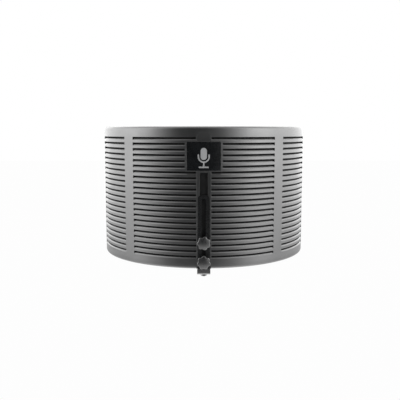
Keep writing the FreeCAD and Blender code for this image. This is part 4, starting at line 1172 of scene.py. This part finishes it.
# Stops of a place and a colour. AROUND runs from a right angle to the dark gap, and anywhere beyond it, to
# facing the gap. UPWARD, for the bright walls, and FILL, for the light that the gap leaves, run from straight
# down to straight up.
AROUND = (
    (0.0, grey(0.81)), (0.25, grey(1.0)), (0.46, grey(0.87)),
    (0.61, grey(0.53)), (0.76, grey(0.23)), (0.935, grey(0.0)),
)
UPWARD = (
    (0.0, grey(0.30)), (0.41, grey(0.26)), (0.465, grey(0.92)),
    (0.56, grey(1.0)), (0.75, grey(0.84)), (1.0, grey(0.28)),
)
FILL = (
    (0.0, grey(0.28)), (0.22, grey(0.20)), (0.39, grey(0.026, -0.03)),
    (0.50, grey(0.017, -0.04)), (0.65, grey(0.02, -0.03)), (0.95, grey(0.04)),
)


def build_camera():
    data = bpy.data.cameras.new("camera")
    data.lens = CAMERA_LENS
    data.sensor_width = CAMERA_SENSOR
    data.shift_x = CAMERA_SHIFT
    data.clip_end = CAMERA_REACH
    item = bpy.data.objects.new("camera", data)
    item.location = (0, AXIS_Y - CAMERA_DISTANCE, CAMERA_HEIGHT)
    item.rotation_euler = (math.pi / 2 - CAMERA_TILT, 0, 0)
    bpy.context.scene.collection.objects.link(item)
    bpy.context.scene.camera = item


def seen_white(tree, output, dim, bright):
    """The bright shader to the camera, the dim one to everything else."""
    camera = add_node(tree, "LightPath", "Is Camera Ray", {})
    tree.links.new(add_node(tree, "MixShader", "Shader", {0: camera, 1: dim, 2: bright}), output)


def facing_gap(tree, place):
    """How squarely a direction faces the gap: 1 straight at it, 0 or less beside and behind it."""
    scaled = {0: place, 1: (1, 1, GAP_FLATTENING)}
    flattened = add_node(tree, "VectorMath", "Vector", scaled, operation="MULTIPLY")
    direction = add_node(tree, "VectorMath", "Vector", {0: flattened}, operation="NORMALIZE")
    gap = (math.sin(GAP_TURN), -math.cos(GAP_TURN), 0)
    return add_node(tree, "VectorMath", "Value", {0: direction, 1: gap}, operation="DOT_PRODUCT")


def upward_share(tree, place):
    """0 straight down, 1 straight up."""
    height = add_node(tree, "SeparateXYZ", "Z", {"Vector": place})
    return add_node(tree, "MapRange", "Result", {"Value": height, "From Min": -1})


def build_world():
    """A white studio all round, with a dark gap in front from which the camera looks in."""
    world = bpy.data.worlds.new("studio")
    world.use_nodes = True
    tree = world.node_tree
    place = add_node(tree, "TexCoord", "Generated", {})
    facing, upward = facing_gap(tree, place), upward_share(tree, place)
    walls = add_mix(tree, "MULTIPLY", 1, add_ramp(tree, facing, AROUND), add_ramp(tree, upward, UPWARD))
    light = add_mix(tree, "ADD", 1, walls, add_ramp(tree, upward, FILL))
    dim = tree.nodes["Background"]
    dim.inputs["Strength"].default_value = STUDIO_STRENGTH
    tree.links.new(light, dim.inputs["Color"])
    bright = add_node(tree, "Background", "Background", {"Color": grey(1.0)})
    seen_white(tree, tree.nodes["World Output"].inputs["Surface"], dim.outputs[0], bright)
    bpy.context.scene.world = world


def build_floor():
    """A plain floor far below, seen by the camera only."""
    mesh = bpy.data.meshes.new("floor")
    corners = ((-1, -1), (1, -1), (1, 1), (-1, 1))
    points = [(x * FLOOR_REACH, y * FLOOR_REACH, BOTTOM - FLOOR_DROP) for x, y in corners]
    mesh.from_pydata(points, [], [(0, 1, 2, 3)])
    floor = bpy.data.objects.new("floor", mesh)
    bpy.context.scene.collection.objects.link(floor)
    material = bpy.data.materials.new("floor")
    material.use_nodes = True
    tree = material.node_tree
    shader = tree.nodes["Principled BSDF"]
    shader.inputs["Base Color"].default_value = grey(FLOOR_GREY)
    shader.inputs["Roughness"].default_value = FLOOR_ROUGHNESS
    glow = add_node(tree, "Emission", "Emission", {"Color": grey(FLOOR_GLOW)})
    seen_white(tree, tree.nodes["Material Output"].inputs["Surface"], shader.outputs[0], glow)
    floor.data.materials.append(material)
    floor.visible_glossy = False
    floor.visible_diffuse = False


def build_studio():
    build_camera()
    build_world()
    build_floor()
    bpy.context.scene.view_settings.view_transform = "Standard"


build_studio()
